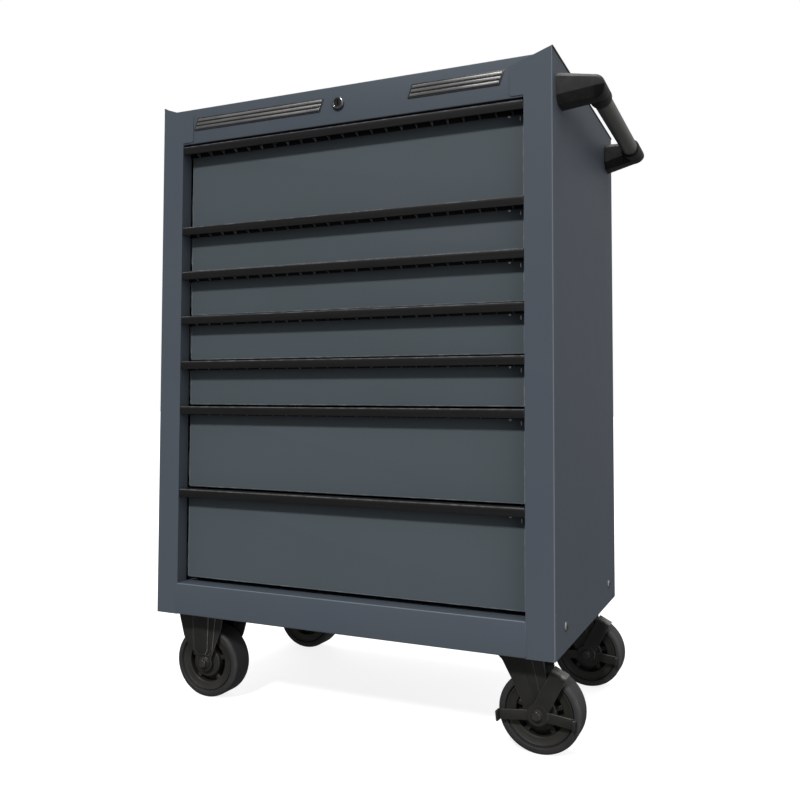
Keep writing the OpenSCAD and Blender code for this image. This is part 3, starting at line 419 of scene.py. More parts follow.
# what each finish shares unless its own line says otherwise; colours are base, its drift, and the rim colour, used for
# wear and for painted highlights
usual = {"wearAndHighlight": 0.4, "scuffs": 0.03, "dust": 0.006, "rough": 0.3, "roughDrift": 0.1, "metal": 0.0, "bump": 0.08,
         "depth": 0.1, "specular": 0.5, "coat": 0.0, "mix": 0.3, "bareMetal": False}
finishes = {
    "paint": {"slot": "cabinet_paint", "colour": (0.0625, 0.0765, 0.0955), "shade": (0.067, 0.08, 0.098),
        "bareAndHighlight": (0.2, 0.225, 0.25), "fine": 1100, "broad": 5, "fold": 0.45, "scuffs": 0.02, "dust": 0.012,
        "rough": 0.5, "roughDrift": 0.05, "bump": 0.16, "depth": 0.12, "specular": 0.14},
    # drawer paint: its bright rim colour and strong rim amount paint a highlight line along the bent rims of each
    # drawer front
    "drawerPaint": {"slot": "drawer_paint", "colour": (0.066, 0.083, 0.0925), "shade": (0.0715, 0.086, 0.098),
        "bareAndHighlight": (0.34, 0.37, 0.39), "fine": 1100, "broad": 4, "wearAndHighlight": 0.9, "scuffs": 0.02, "dust": 0.01, "rough": 0.5,
        "roughDrift": 0.05, "bump": 0.16, "depth": 0.12, "specular": 0.14},
    "pull": {"slot": "pull_black", "colour": (0.011, 0.0107, 0.0108), "shade": (0.0132, 0.0128, 0.013),
        "bareAndHighlight": (0.2, 0.2, 0.21), "fine": 60, "broad": 8, "stretch": (1, 30, 30), "wearAndHighlight": 0.5, "dust": 0.008,
        "rough": 0.42, "bump": 0.1, "depth": 0.06, "specular": 0.12},
    "zinc": {"slot": "zinc_steel", "colour": (0.42, 0.43, 0.44), "shade": (0.5, 0.5, 0.49), "bareAndHighlight": (0.6, 0.6, 0.6),
        "fine": 300, "broad": 30, "stretch": (1, 0.2, 1), "wearAndHighlight": 0.3, "scuffs": 0.15, "dust": 0.05,
        "roughDrift": 0.18, "metal": 0.95, "bump": 0.12, "depth": 0.06},
    "darkSteel": {"slot": "black_steel", "colour": (0.03, 0.03, 0.03), "shade": (0.045, 0.043, 0.04),
        "bareAndHighlight": (0.35, 0.35, 0.35), "fine": 500, "broad": 60, "scuffs": 0.08, "dust": 0.015, "rough": 0.32,
        "roughDrift": 0.15, "metal": 0.5, "bump": 0.12, "depth": 0.08, "bareMetal": True},
    "boltSteel": {"slot": "black_steel", "colour": (0.16, 0.16, 0.165), "shade": (0.22, 0.22, 0.225),
        "bareAndHighlight": (0.7, 0.7, 0.7), "fine": 500, "broad": 60, "wearAndHighlight": 0.8, "scuffs": 0.1, "dust": 0.02, "rough": 0.22,
        "roughDrift": 0.12, "metal": 0.9, "bump": 0.1, "depth": 0.06},
    "fork": {"slot": "fork_black", "colour": (0.0125, 0.0125, 0.0115), "shade": (0.017, 0.0165, 0.015),
        "bareAndHighlight": (0.13, 0.13, 0.125), "fine": 700, "broad": 18, "wearAndHighlight": 0.6, "scuffs": 0.06, "dust": 0.012,
        "rough": 0.34, "roughDrift": 0.12, "bump": 0.25, "depth": 0.15, "specular": 0.35, "coat": 0.1},
    "tyre": {"slot": "tyre_rubber", "colour": (0.018, 0.018, 0.0195), "shade": (0.023, 0.023, 0.0245),
        "bareAndHighlight": (0.06, 0.06, 0.06), "fine": 900, "broad": 35, "wearAndHighlight": 0.5, "scuffs": 0.12, "dust": 0.015,
        "rough": 0.55, "roughDrift": 0.12, "bump": 0.3, "depth": 0.12, "specular": 0.3},
    "wheelPlastic": {"slot": "wheel_plastic", "colour": (0.0165, 0.016, 0.0135), "shade": (0.021, 0.0205, 0.0175),
        "bareAndHighlight": (0.09, 0.09, 0.08), "fine": 800, "broad": 30, "wearAndHighlight": 0.5, "scuffs": 0.05, "dust": 0.015,
        "rough": 0.4, "bump": 0.2, "specular": 0.3},
    "handlePlastic": {"slot": "handle_plastic", "colour": (0.0115, 0.0112, 0.0108), "shade": (0.0145, 0.014, 0.0136),
        "bareAndHighlight": (0.07, 0.069, 0.066), "fine": 1500, "broad": 14, "wearAndHighlight": 0.3, "dust": 0.008, "rough": 0.46,
        "roughDrift": 0.08, "bump": 0.35, "specular": 0.15},
    # grip: its light streaks along the tube, drifting between the two colours, are painted sheen standing in for
    # highlight stripes
    "grip": {"slot": "grip_rubber", "colour": (0.064, 0.062, 0.054), "shade": (0.098, 0.094, 0.082),
        "bareAndHighlight": (0.16, 0.16, 0.15), "fine": 700, "broad": 200, "stretch": (1, 0.03, 1), "dust": 0.008,
        "roughDrift": 0.12, "bump": 0.3, "mix": 0.6},
    "rubber": {"slot": "black_rubber", "colour": (0.01, 0.01, 0.0105), "shade": (0.015, 0.015, 0.0155),
        "bareAndHighlight": (0.05, 0.05, 0.05), "fine": 1200, "broad": 22, "wearAndHighlight": 0.3, "scuffs": 0.04, "dust": 0.02,
        "rough": 0.6, "bump": 0.35, "specular": 0.3},
    "badgeDark": {"slot": "badge_metal", "colour": (0.008, 0.008, 0.009), "shade": (0.014, 0.014, 0.015),
        "bareAndHighlight": (0.25, 0.25, 0.25), "fine": 900, "broad": 40, "wearAndHighlight": 0.3, "rough": 0.25, "roughDrift": 0.08,
        "depth": 0.05, "coat": 0.4},
    "badgeBright": {"slot": "badge_metal", "colour": (0.2, 0.2, 0.205), "shade": (0.34, 0.33, 0.32),
        "bareAndHighlight": (0.7, 0.7, 0.7), "fine": 700, "broad": 30, "stretch": (0.3, 1, 3), "rough": 0.26, "roughDrift": 0.14,
        "metal": 0.9, "depth": 0.04},
    "chrome": {"slot": "lock_chrome", "colour": (0.16, 0.16, 0.165), "shade": (0.24, 0.24, 0.245),
        "bareAndHighlight": (0.75, 0.75, 0.75), "fine": 900, "broad": 50, "rough": 0.14, "roughDrift": 0.12, "metal": 1.0,
        "bump": 0.05, "depth": 0.03},
    "nickel": {"slot": "zinc_steel", "colour": (0.55, 0.55, 0.54), "shade": (0.7, 0.7, 0.68), "bareAndHighlight": (0.9, 0.9, 0.9),
        "fine": 900, "broad": 80, "rough": 0.2, "metal": 0.3, "bump": 0.05, "depth": 0.03},
    "lockFace": {"slot": "lock_dark", "colour": (0.008, 0.008, 0.008), "shade": (0.012, 0.012, 0.012),
        "bareAndHighlight": (0.3, 0.3, 0.3), "fine": 700, "broad": 60, "wearAndHighlight": 0.3, "scuffs": 0.05, "metal": 0.3, "depth": 0.05},
}
made = {name: makeFinish(name, {**usual, **own}) for name, own in finishes.items()}
print("finishes made:", len(made))


sheetWork = {"thickness": 1.2, "fasciaBend": 1.7, "railBend": 2.4, "railCut": 2.0, "railFoot": 24,
             "beadHeight": 1.1, "beadWidth": 15, "guideWidth": 34.6, "guideLength": 12}


def fascia():
    # bent sheet: bottom fold, upright face and top fold, carried across the cabinet
    low, high = boxOf("top_fascia")
    fold = 7.3
    path = [[high[1], low[2]], [low[1], low[2]], [low[1], high[2]], [low[1] + fold, high[2]]]
    profile = sheetProfile(path, sheetWork["thickness"], sheetWork["fasciaBend"], side=-1)
    addPiece("fasciaPanel", [carried(profile, low[0], high[0], "x", 0.2)], "cabinet", "paint", ["top_fascia"])


def rail():
    # the rail's face with its two folds, and a lap with a cut corner at each end
    low, high = boxOf("bottom_rail")
    lap, cut = 1.8, sheetWork["railCut"]
    path = [[low[1] + sheetWork["railFoot"], low[2]], [low[1], low[2]], [low[1], high[2]], [high[1], high[2]]]
    profile = sheetProfile(path, sheetWork["thickness"], sheetWork["railBend"], side=-1, steps=7)
    parts = [carried(profile, low[0] + lap, high[0] - lap, "x", 0.1)]
    z0, z1 = low[2] + sheetWork["railBend"], high[2] - sheetWork["railBend"]
    x0, x1 = low[0], low[0] + 1.2 * lap
    outline = rounded([[x0, z0], [x1, z0 - cut / 2], [x1, z1 + cut / 2], [x0, z1]], 0.3, 3)
    end = carried(outline, low[1] + 0.02, low[1] + sheetWork["thickness"], "y", 0.3)
    parts += [end, mirrored(end, cabMiddle)]
    addPiece("railPanel", parts, "cabinet", "paint", ["bottom_rail"])


def backWall():
    # rear sheet whose outer face swells into three lying beads: a raised cosine across each bead,
    # faded out towards its ends
    low, high = boxOf("back_panel")
    outerY = high[1] - sheetWork["beadHeight"] - 0.1
    reach = 60
    width = sheetWork["beadWidth"] / 2
    middles = low[2] + (high[2] - low[2]) * np.array([0.25, 0.5, 0.75])
    near = np.concatenate([m + np.linspace(-width, width, 13) for m in middles])
    z = np.unique(np.concatenate([[low[2], high[2]], near]))
    ends = np.linspace(0, 14, 9)
    x = np.concatenate([[low[0]], low[0] + reach + ends, high[0] - reach - ends[::-1], [high[0]]])
    away = np.abs(z[:, None] - middles).min(1)
    rise = np.where(away < width, (1 + np.cos(math.pi * np.minimum(away / width, 1))) / 2, 0)
    fade = np.clip(np.minimum(x - low[0] - reach, high[0] - reach - x) / 14, 0, 1)
    fade = fade * fade * (3 - 2 * fade)
    gx, gz = np.meshgrid(x, z)
    gy = outerY + sheetWork["beadHeight"] * rise[:, None] * fade[None, :]
    outer = np.stack([gx, gy, gz], -1)
    inner = outer - [0, sheetWork["thickness"], 0]
    parts = [slab(outer, inner)]
    half, t = sheetWork["guideWidth"] / 2 - 2, 2
    middle = boxOf("lock_bar")[0][0] + 15
    for drawer in (2, 5):
        z0 = boxOf("drawer_%d" % drawer)[0][2] + 3
        path = [[middle - half - t, outerY - sheetWork["thickness"]], [middle - half - t, low[1]],
                [middle + half + t, low[1]], [middle + half + t, outerY - sheetWork["thickness"]]]
        profile = sheetProfile(path, t, 2.2, side=1)
        parts.append(carried(profile, z0, z0 + sheetWork["guideLength"], "z", 0.3))
    addPiece("backWall", parts, "cabinet", "paint", ["back_panel"])


trim = {"wall": 1.0, "round": 1.05}


def edging():
    # rubber channel over each side panel's top edge, carried from front to back
    low, high = boxOf("edge_trims")
    x1 = low[0] + 2 * trim["wall"] + sheetWork["thickness"]
    path = [[low[0], low[2]], [low[0], high[2]], [x1, high[2]], [x1, low[2]]]
    profile = sheetProfile(path, trim["wall"] * 0.98, trim["round"], side=-1, steps=6)
    left = carried(profile, low[1], high[1], "y", 0.3)
    addPiece("topEdging", [left, mirrored(left, cabMiddle)], "cabinet", "rubber",
             ["edge_trims"])


mat = {"pitch": 8, "groove": 1.1, "grooveWidth": 1.6, "corner": 6}


def topMat():
    # flat mat with V grooves from side to side: the height drops linearly into each groove
    low, high = boxOf("top_mat")
    count = int((high[1] - low[1]) / mat["pitch"])
    middles = (low[1] + high[1]) / 2 + (np.arange(count) - (count - 1) / 2) * mat["pitch"]
    offsets = np.array([-1, -0.15, 0.15, 1]) * mat["grooveWidth"] / 2
    depths = np.array([0, 1, 1, 0]) * mat["groove"]
    y = np.concatenate([[low[1], low[1] + 0.6], (middles[:, None] + offsets).ravel(),
                        [high[1] - 0.6, high[1]]])
    fall = np.concatenate([[0.6, 0], np.tile(depths, count), [0, 0.6]])
    x = np.array([low[0], low[0] + 0.6, high[0] - 0.6, high[0]])
    edge = np.array([0.6, 0, 0, 0.6])
    gx, gy = np.meshgrid(x, y)
    gz = high[2] - np.maximum(fall[:, None], edge[None, :])
    outer = np.stack([gx, gy, gz], -1)
    inner = np.stack([gx, gy, np.full_like(gx, low[2])], -1)
    addPiece("trayMat", [slab(outer, inner)], "cabinet", "rubber", ["top_mat"], crease=20)


badge = {"lean": 8, "base": 1.2, "margin": 2.6, "bars": 3, "gap": 2.4, "lockRoom": 26,
         "rightStart": 121}


def slanted(x0, x1, z0, z1, lean, full):
    # parallelogram whose ends lean by the same angle at every height
    s = lean / full
    return np.array([[x0, z0], [x1, z0], [x1 + s * (z1 - z0), z1], [x0 + s * (z1 - z0), z1]])


def badges():
    # dark slanted plates, each with three raised bars
    low, high = boxOf("badge_plates")
    height = high[2] - low[2]
    spans = [(low[0], cabMiddle - badge["lockRoom"]), (cabMiddle + badge["rightStart"], high[0])]
    bases, bars = [], []
    barHeight = (height - 2 * badge["margin"] - (badge["bars"] - 1) * badge["gap"]) / badge["bars"]
    for x0, x1 in spans:
        outline = rounded(slanted(x0, x1 - badge["lean"], low[2], high[2], badge["lean"], height), 1.5)
        bases.append(carried(outline, high[1] - badge["base"], high[1], "y", 0.5))
        for k in range(badge["bars"]):
            z0 = low[2] + badge["margin"] + k * (barHeight + badge["gap"])
            shift = badge["lean"] * (z0 - low[2]) / height
            shape = slanted(x0 + shift + badge["margin"], x1 - badge["lean"] + shift - badge["margin"],
                            z0, z0 + barHeight, badge["lean"], height)
            bars.append(carried(rounded(shape, 0.8), low[1], high[1] - badge["base"] * 0.5, "y", 0.7))
    addPiece("badgeBases", bases, "cabinet", "badgeDark", ["badge_plates"])
    addPiece("badgeBars", bars, "cabinet", "badgeBright")


lockWork = {"ring": 10.5, "bore": 6.6, "plug": 6.5, "barrel": 8.5, "keyWidth": 1.7,
            "keyHeight": 8, "keyDepth": 6, "dish": 0.6}


def lockParts():
    # ring: a closed ring profile turned about Y; plug: a disc whose middle ring closes onto the key slot
    low, high = boxOf("lock_housing")
    centre = [(low[0] + high[0]) / 2, 0, (low[2] + high[2]) / 2]
    panel = boxOf("top_fascia")[0][1]
    outline = rounded([[lockWork["bore"], low[1] + 0.8], [8.2, low[1]], [lockWork["ring"], low[1] + 0.9],
                       [lockWork["ring"], panel], [lockWork["barrel"], panel], [lockWork["barrel"], high[1]],
                       [lockWork["bore"], high[1]]], [0.3, 0.8, 0.9, 0, 0, 0.3, 0.3], 5)
    addPiece("lockRing", [turned(outline, centre, looped=True)], "cabinet", "chrome",
             ["lock_housing"])
    plugLow, plugHigh = boxOf("lock_plug")
    angle = np.linspace(0, 2 * math.pi, 72, endpoint=False)
    slot = np.minimum(lockWork["keyWidth"] / 2 / np.maximum(np.abs(np.cos(angle)), 1e-6),
                      lockWork["keyHeight"] / 2 / np.maximum(np.abs(np.sin(angle)), 1e-6))
    face = plugLow[1]
    levels = [[lockWork["plug"], plugHigh[1]], [lockWork["plug"], face + 0.5],
              [lockWork["plug"] - 0.5, face], [5.2, face], [4.9, face + lockWork["dish"]],
              [np.minimum(slot + 0.2, 4.6), face + lockWork["dish"]],
              [np.minimum(slot, 4.4), face + lockWork["dish"] + 0.3],
              [np.minimum(slot, 4.4), face + lockWork["keyDepth"]]]
    addPiece("lockCylinder", [turned(levels, centre)], "lock", "lockFace", ["lock_plug"])


button = {"radius": 8, "height": 3, "socket": 4.2}


def buttonBolts():
    # domed heads with a hexagon socket: a quarter ellipse turned about X, and the socket's wall inside it
    wheels = [boxOf("tyre_left_front"), boxOf("tyre_left_rear")]
    z = boxOf("panel_bolts")[0][2] + button["radius"]
    t = np.linspace(0, math.pi / 2, 7)[:-1]
    dome = [[button["radius"] * math.cos(a), -button["height"] * math.sin(a)] for a in t]
    six = hexagon(button["socket"])
    dome += [[six + 0.9, -button["height"]], [six, -button["height"] + 0.4], [six, -0.6]]
    parts = []
    for box in wheels:
        y = (box[0][1] + box[1][1]) / 2
        head = turned([[button["radius"], 0.5]] + dome, [cabLeft, y, z], "x")
        nut = turned(hexLevels(6.2, 1.2, 5.2), [cabLeft, y, z], "x")
        stem = turned([[4, 0], [4, 6.2]], [cabLeft, y, z], "x", 32)
        for part in (head, nut, stem):
            parts += [part, mirrored(part, cabMiddle)]
    for arm in ("handle_arm_front", "handle_arm_rear"):
        armLow, armHigh = boxOf(arm)
        front = arm.endswith("front")
        foot = armLow[1] + 29.5 if front else armHigh[1] - 29.5
        for side in (-1, 1):
            centre = [cabRight - 1.2, foot + side * 14, armLow[2] + 24]
            parts.append(turned(hexLevels(5, 0, -4), centre, "x"))
            parts.append(turned([[3, 0], [3, 12]], centre, "x", 32))
    addPiece("panelBolts", parts, "cabinet", "boltSteel", ["panel_bolts"])


fascia()
rail()
backWall()
edging()
topMat()
badges()
lockParts()
buttonBolts()
print("cabinet trim made")


drawerWork = {"sheet": 1.2, "hem": 5.7, "bend": 2.2, "corner": 2.6, "boxIn": 7.4,
              "boxLift": 5, "boxDrop": 13.2, "wall": 1, "roll": 2.6, "rollDepth": 7,
              "runnerHalf": 12, "runnerDeep": 5.5, "runnerSteel": 1.3, "linerThick": 2,
              "linerGap": 3, "catchHalf": 12, "catchSteel": 2, "catchFall": 8,
              "catchReach": 14, "screw": 2.2, "tab": 6.8}


def frontSkin(low, high):
    # shallow pan seen from its face: rings of the rounded outline run from the inner face out over the hem,
    # round the bend by a quarter circle and in to the flat face
    w = drawerWork
    outline = counterClockwise(rounded([[low[0], low[2]], [high[0], low[2]], [high[0], high[2]], [low[0], high[2]]],
                                       w["corner"], 6))
    inward = edgeNormals(outline, True)
    t = np.linspace(0, math.pi / 2, 7)
    y0, sheet = low[1], w["sheet"]
    inner = w["bend"] - sheet
    levels = [(sheet + inner * (1 - math.sin(a)), sheet + inner * (1 - math.cos(a))) for a in t]
    levels += [(sheet, w["hem"]), (0, w["hem"])]
    levels += [(w["bend"] * (1 - math.sin(a)), w["bend"] * (1 - math.cos(a))) for a in t[::-1]]
    # the bend round the face is marked, so the drawer paint paints a highlight along it
    edge = [0] * (len(t) + 2) + list(np.sin(2 * t[::-1]))
    return shell([lift(outline + inward * d, y0 + along, "y") for d, along in levels], edge=edge)


def drawerBody(number):
    w = drawerWork
    low, high = boxOf("drawer_%d" % number)
    body = "drawer_%d" % number
    midLow, midHigh = boxOf("slide_middle_%d" % number)
    x0, x1 = low[0] + w["boxIn"], high[0] - w["boxIn"]
    z0, z1 = low[2] + w["boxLift"], high[2] - w["boxDrop"]
    yFront, yBack = low[1] + w["sheet"], high[1] - w["catchReach"]
    addPiece("drawerFront%d" % number, [frontSkin(low, high)], body, "drawerPaint")
    r, d, t = w["roll"], w["rollDepth"], w["wall"]
    path = [[x0 + r, z1 - d], [x0 + r, z1], [x0, z1], [x0, z0], [x1, z0], [x1, z1], [x1 - r, z1], [x1 - r, z1 - d]]
    profile = sheetProfile(path, t, [0, 1.25, 1.25, 2, 2, 1.25, 1.25, 0], side=1)
    parts = [carried(profile, yFront, yBack, "y", 0.2)]
    wallShape = rounded([[x0 + t, z0 + t], [x1 - t, z0 + t], [x1 - t, z1 - 0.5], [x0 + t, z1 - 0.5]], 1.5)
    parts.append(carried(wallShape, yBack - t, yBack, "y", 0.3))
    parts.append(carried(wallShape, yFront, yFront + t, "y", 0.3))
    z = midLow[2] + (midHigh[2] - midLow[2]) / 2 + 10
    catchPath = [[yBack - 0.5, z + w["catchSteel"]], [high[1], z + w["catchSteel"]], [high[1], z - w["catchFall"]]]
    catchShape = sheetProfile(catchPath, w["catchSteel"], 2.4, side=-1)
    parts.append(carried(catchShape, cabMiddle - w["catchHalf"], cabMiddle + w["catchHalf"], "x", 0.4))
    addPiece("drawerBox%d" % number, parts, body, "drawerPaint", [body])
    zc = (midLow[2] + midHigh[2]) / 2
    outer = x0 - 0.2
    channel = [[outer - w["runnerDeep"], zc + w["runnerHalf"]], [outer, zc + w["runnerHalf"]],
               [outer, zc - w["runnerHalf"]], [outer - w["runnerDeep"], zc - w["runnerHalf"]]]
    shape = sheetProfile(channel, w["runnerSteel"], 1.6, side=-1)
    runner = carried(shape, midLow[1] + 2, midHigh[1], "y", 0.2)
    addPiece("drawerRunners%d" % number, [runner, mirrored(runner, cabMiddle)], body, "zinc")
    g = w["linerGap"]
    linerShape = rounded([[x0 + g, yFront + g], [x1 - g, yFront + g], [x1 - g, yBack - g], [x0 + g, yBack - g]], 8)
    liner = carried(linerShape, z0 + t + 0.05, z0 + t + w["linerThick"], "z", 0.5)
    addPiece("drawerLiner%d" % number, [liner], body, "rubber")
    dome = [[w["screw"] * math.cos(a), -1.0 * math.sin(a)] for a in np.linspace(0, 1.35, 6)]
    skirt = high[2] - 15.4
    centre = [high[0] - 23, low[1], skirt + 0.9]
    screws = [turned([[w["screw"], 0.3]] + dome, centre, "y", 24)]
    x, z = high[0] - 5.4, skirt - 1
    tab = rounded([[low[1] + 0.3, z], [low[1] - 2.2, z], [low[1] - 2.2, z - w["tab"]],
                   [low[1] + 0.3, z - w["tab"]]], [0, 0.8, 1.2, 0], 4)
    screws.append(carried(tab, x - 0.7, x + 0.7, "x", 0.3))
    addPiece("pullScrews%d" % number, screws, body, "nickel")


pullWork = {"wall": 1.8, "lip": 4, "crown": 1.1, "bevel": 1.1, "band": 3.6, "lean": 0.9,
            "ribPitch": 26, "ribThick": 1.6, "ribFront": 4.4, "skirt": 1.3, "flange": 1.2}


def pull(number):
    # hollow section open underneath: its front leans out from the foot to a narrow bevel; ribs stand inside
    w = pullWork
    low, high = boxOf("pull_%d" % number)
    y0, y1, z0, z1 = low[1], high[1], low[2], high[2]
    back = y1 - w["flange"]
    t = w["wall"]
    shape = [[y0 + w["lean"], z0], [y0 + w["lip"], z0], [y0 + w["lip"], z0 + 1.3],
             [y0 + w["lean"] + t, z0 + 1.6], [y0 + t, z1 - w["crown"] - t], [y0 + t + 1, z1 - t],
             [back - t, z1 - t], [back - t, z0 - w["skirt"]], [back, z0 - w["skirt"]], [back, z1 - t], [y1, z1 - t],
             [y1, z1], [y0 + 3, z1], [y0 + w["bevel"], z1], [y0 + 0.15, z1 - w["crown"]],
             [y0 + 0.1, z1 - 2.2], [y0, z1 - w["band"]]]
    radii = np.array([0.6, 0.5, 0.4, 0.6, 1, 0.8, 0.4, 0.5, 0.4, 0.2, 0.2, 0.3, 0, 0.4, 0.4, 0, 1.5])
    profile = rounded(shape, radii, 4)
    points, faces, edge = carried(profile, low[0], high[0], "x", 0.35)
    # the top bevel is marked so the rim colour paints a thin highlight line along the pull's top edge
    bevelHighlight = (points[:, 2] > z1 - w["crown"] - 0.3) & (points[:, 1] < y0 + w["bevel"] + 0.3)
    parts = [(points, faces, np.where(bevelHighlight, 1.0, edge))]
    count = int((high[0] - low[0]) / w["ribPitch"])
    first = (low[0] + high[0]) / 2 - (count - 1) / 2 * w["ribPitch"]
    gusset = [[y0 + 1.5, z0 + w["ribFront"]], [y0 + 5, z0 + w["ribFront"]],
              [back - 3, z0 - w["skirt"]], [back - 1, z0 - w["skirt"]], [back - 1, z1 - 1],
              [y0 + 2.6, z1 - 1.6], [y0 + 1.2, z1 - 5]]
    for k in range(count):
        x = first + k * w["ribPitch"] - w["ribThick"] / 2
        points, faces, edge = carried(gusset, x, x + w["ribThick"], "x", 0.3, 2)
        # the rib feet are marked strongly so the rim colour paints small glints on them
        parts.append((points, faces, np.where(points[:, 2] < z0 + 1, 3.0, edge)))
    addPiece("pullBar%d" % number, parts, "drawer_%d" % number, "pull", ["pull_%d" % number])


for number in range(1, drawerCount + 1):
    drawerBody(number)
    pull(number)
print("drawers made:", drawerCount)


handleWork = {"footWidth": 59, "footHeight": 48, "footTop": 22, "topCut": 7, "lowCut": 12,
              "socket": 17, "tube": 14, "skew": 17, "endFront": 71, "socketEnd": 93}


def armSection(y0, y1, low, high, topCut, lowCut, radius):
    # eight-sided outline with unequal cuts at its head and foot, every corner rounded
    c, f = topCut, lowCut
    points = [[y0 + f, low], [y1 - f, low], [y1, low + f], [y1, high - c], [y1 - c, high], [y0 + c, high],
              [y0, high - c], [y0, low + f]]
    return rounded(points, radius, 4)


def handleArm(node, name):
    # sections run outwards from the panel: each side moves in a straight line to the tube's height,
    # and past the tube's axis the height falls as a circle does
    w = handleWork
    low, high = boxOf(node)
    tubeLow, tubeHigh = boxOf("handle_tube")
    xc, zc = (tubeLow[0] + tubeHigh[0]) / 2, (tubeLow[2] + tubeHigh[2]) / 2
    rear = node.endswith("rear")
    start = tubeLow[1] + tubeHigh[1] - high[1] if rear else low[1]
    r = w["socket"]
    rings, marks = [], []
    out = np.concatenate([[0], np.linspace(0.015, 1, 12) * (xc - cabRight),
                          xc - cabRight + r * np.sin(np.linspace(0, math.pi / 2, 12)[1:-1])])
    for x in out:
        k = min(x / (xc - cabRight), 1)
        past = max(x - (xc - cabRight), 0)
        half = math.sqrt(max(r * r - past * past, 0)) if past else None
        top = w["footTop"] + (r - w["footTop"]) * k if half is None else half
        foot = w["footTop"] - w["footHeight"] + (w["footHeight"] - w["footTop"] - r) * k if half is None else -half
        ease = 0 if half is None else 1 - half / r
        y0 = start + w["skew"] * k + 3 * ease
        y1 = start + w["footWidth"] + (w["endFront"] - w["footWidth"]) * k - 3 * ease
        size = top - foot
        cutTop = min(w["topCut"] - 1.5 * k, 0.3 * size)
        cutLow = min(w["lowCut"] + 2.4 * k, 0.44 * size)
        radius = min(0.9 + 1.3 * k, 0.1 * size)
        rings.append(lift(armSection(y0, y1, zc + foot, zc + top, cutTop, cutLow, radius), cabRight + x, "x"))
        marks.append(0.6 if half is None and x > 0 else 0.2)
    parts = [shell(rings, edge=marks)]
    y1, y2 = start + w["endFront"], start + w["socketEnd"]
    bore = w["tube"] + 0.4
    socket = rounded([[r - 0.2, y1 - 12], [r, y2 - 3], [r - 1.2, y2], [bore, y2], [bore, y1 - 12]],
                     [0.2, 2, 0.5, 0.4, 0.2], 5)
    parts.append(turned(socket, [xc, 0, zc], looped=True))
    if rear:
        parts = [mirroredY(part, (tubeLow[1] + tubeHigh[1]) / 2) for part in parts]
    addPiece(name, parts, "cabinet", "handlePlastic", [node], crease=20)


def handleTube():
    # plain sleeve with a shallow ring groove just outside each socket
    low, high = boxOf("handle_tube")
    centre = [(low[0] + high[0]) / 2, 0, (low[2] + high[2]) / 2]
    r = (high[0] - low[0]) / 2
    inside = 24
    ring = [[r - 1, 0], [r, 0.8], [r, inside], [r - 0.8, inside + 0.4],
            [r - 0.8, inside + 1.6], [r, inside + 2.2]]
    levels = [[radius, low[1] + along] for radius, along in ring]
    levels += [[radius, high[1] - along] for radius, along in ring[::-1]]
    addPiece("handleSleeve", [turned(levels, centre, segments=96)], "cabinet", "grip",
             ["handle_tube"])


handleArm("handle_arm_front", "handleArmFront")
handleArm("handle_arm_rear", "handleArmRear")
handleTube()
print("handle made")


wheelWork = {"core": 50, "hubHalf": 27.5, "hub": 26, "ringIn": 35.5,
             "ringHalf": 23, "web": 3.5, "spokes": 5, "spokeWidth": 6.5, "bore": 5.06,
             "shoulder": 7}


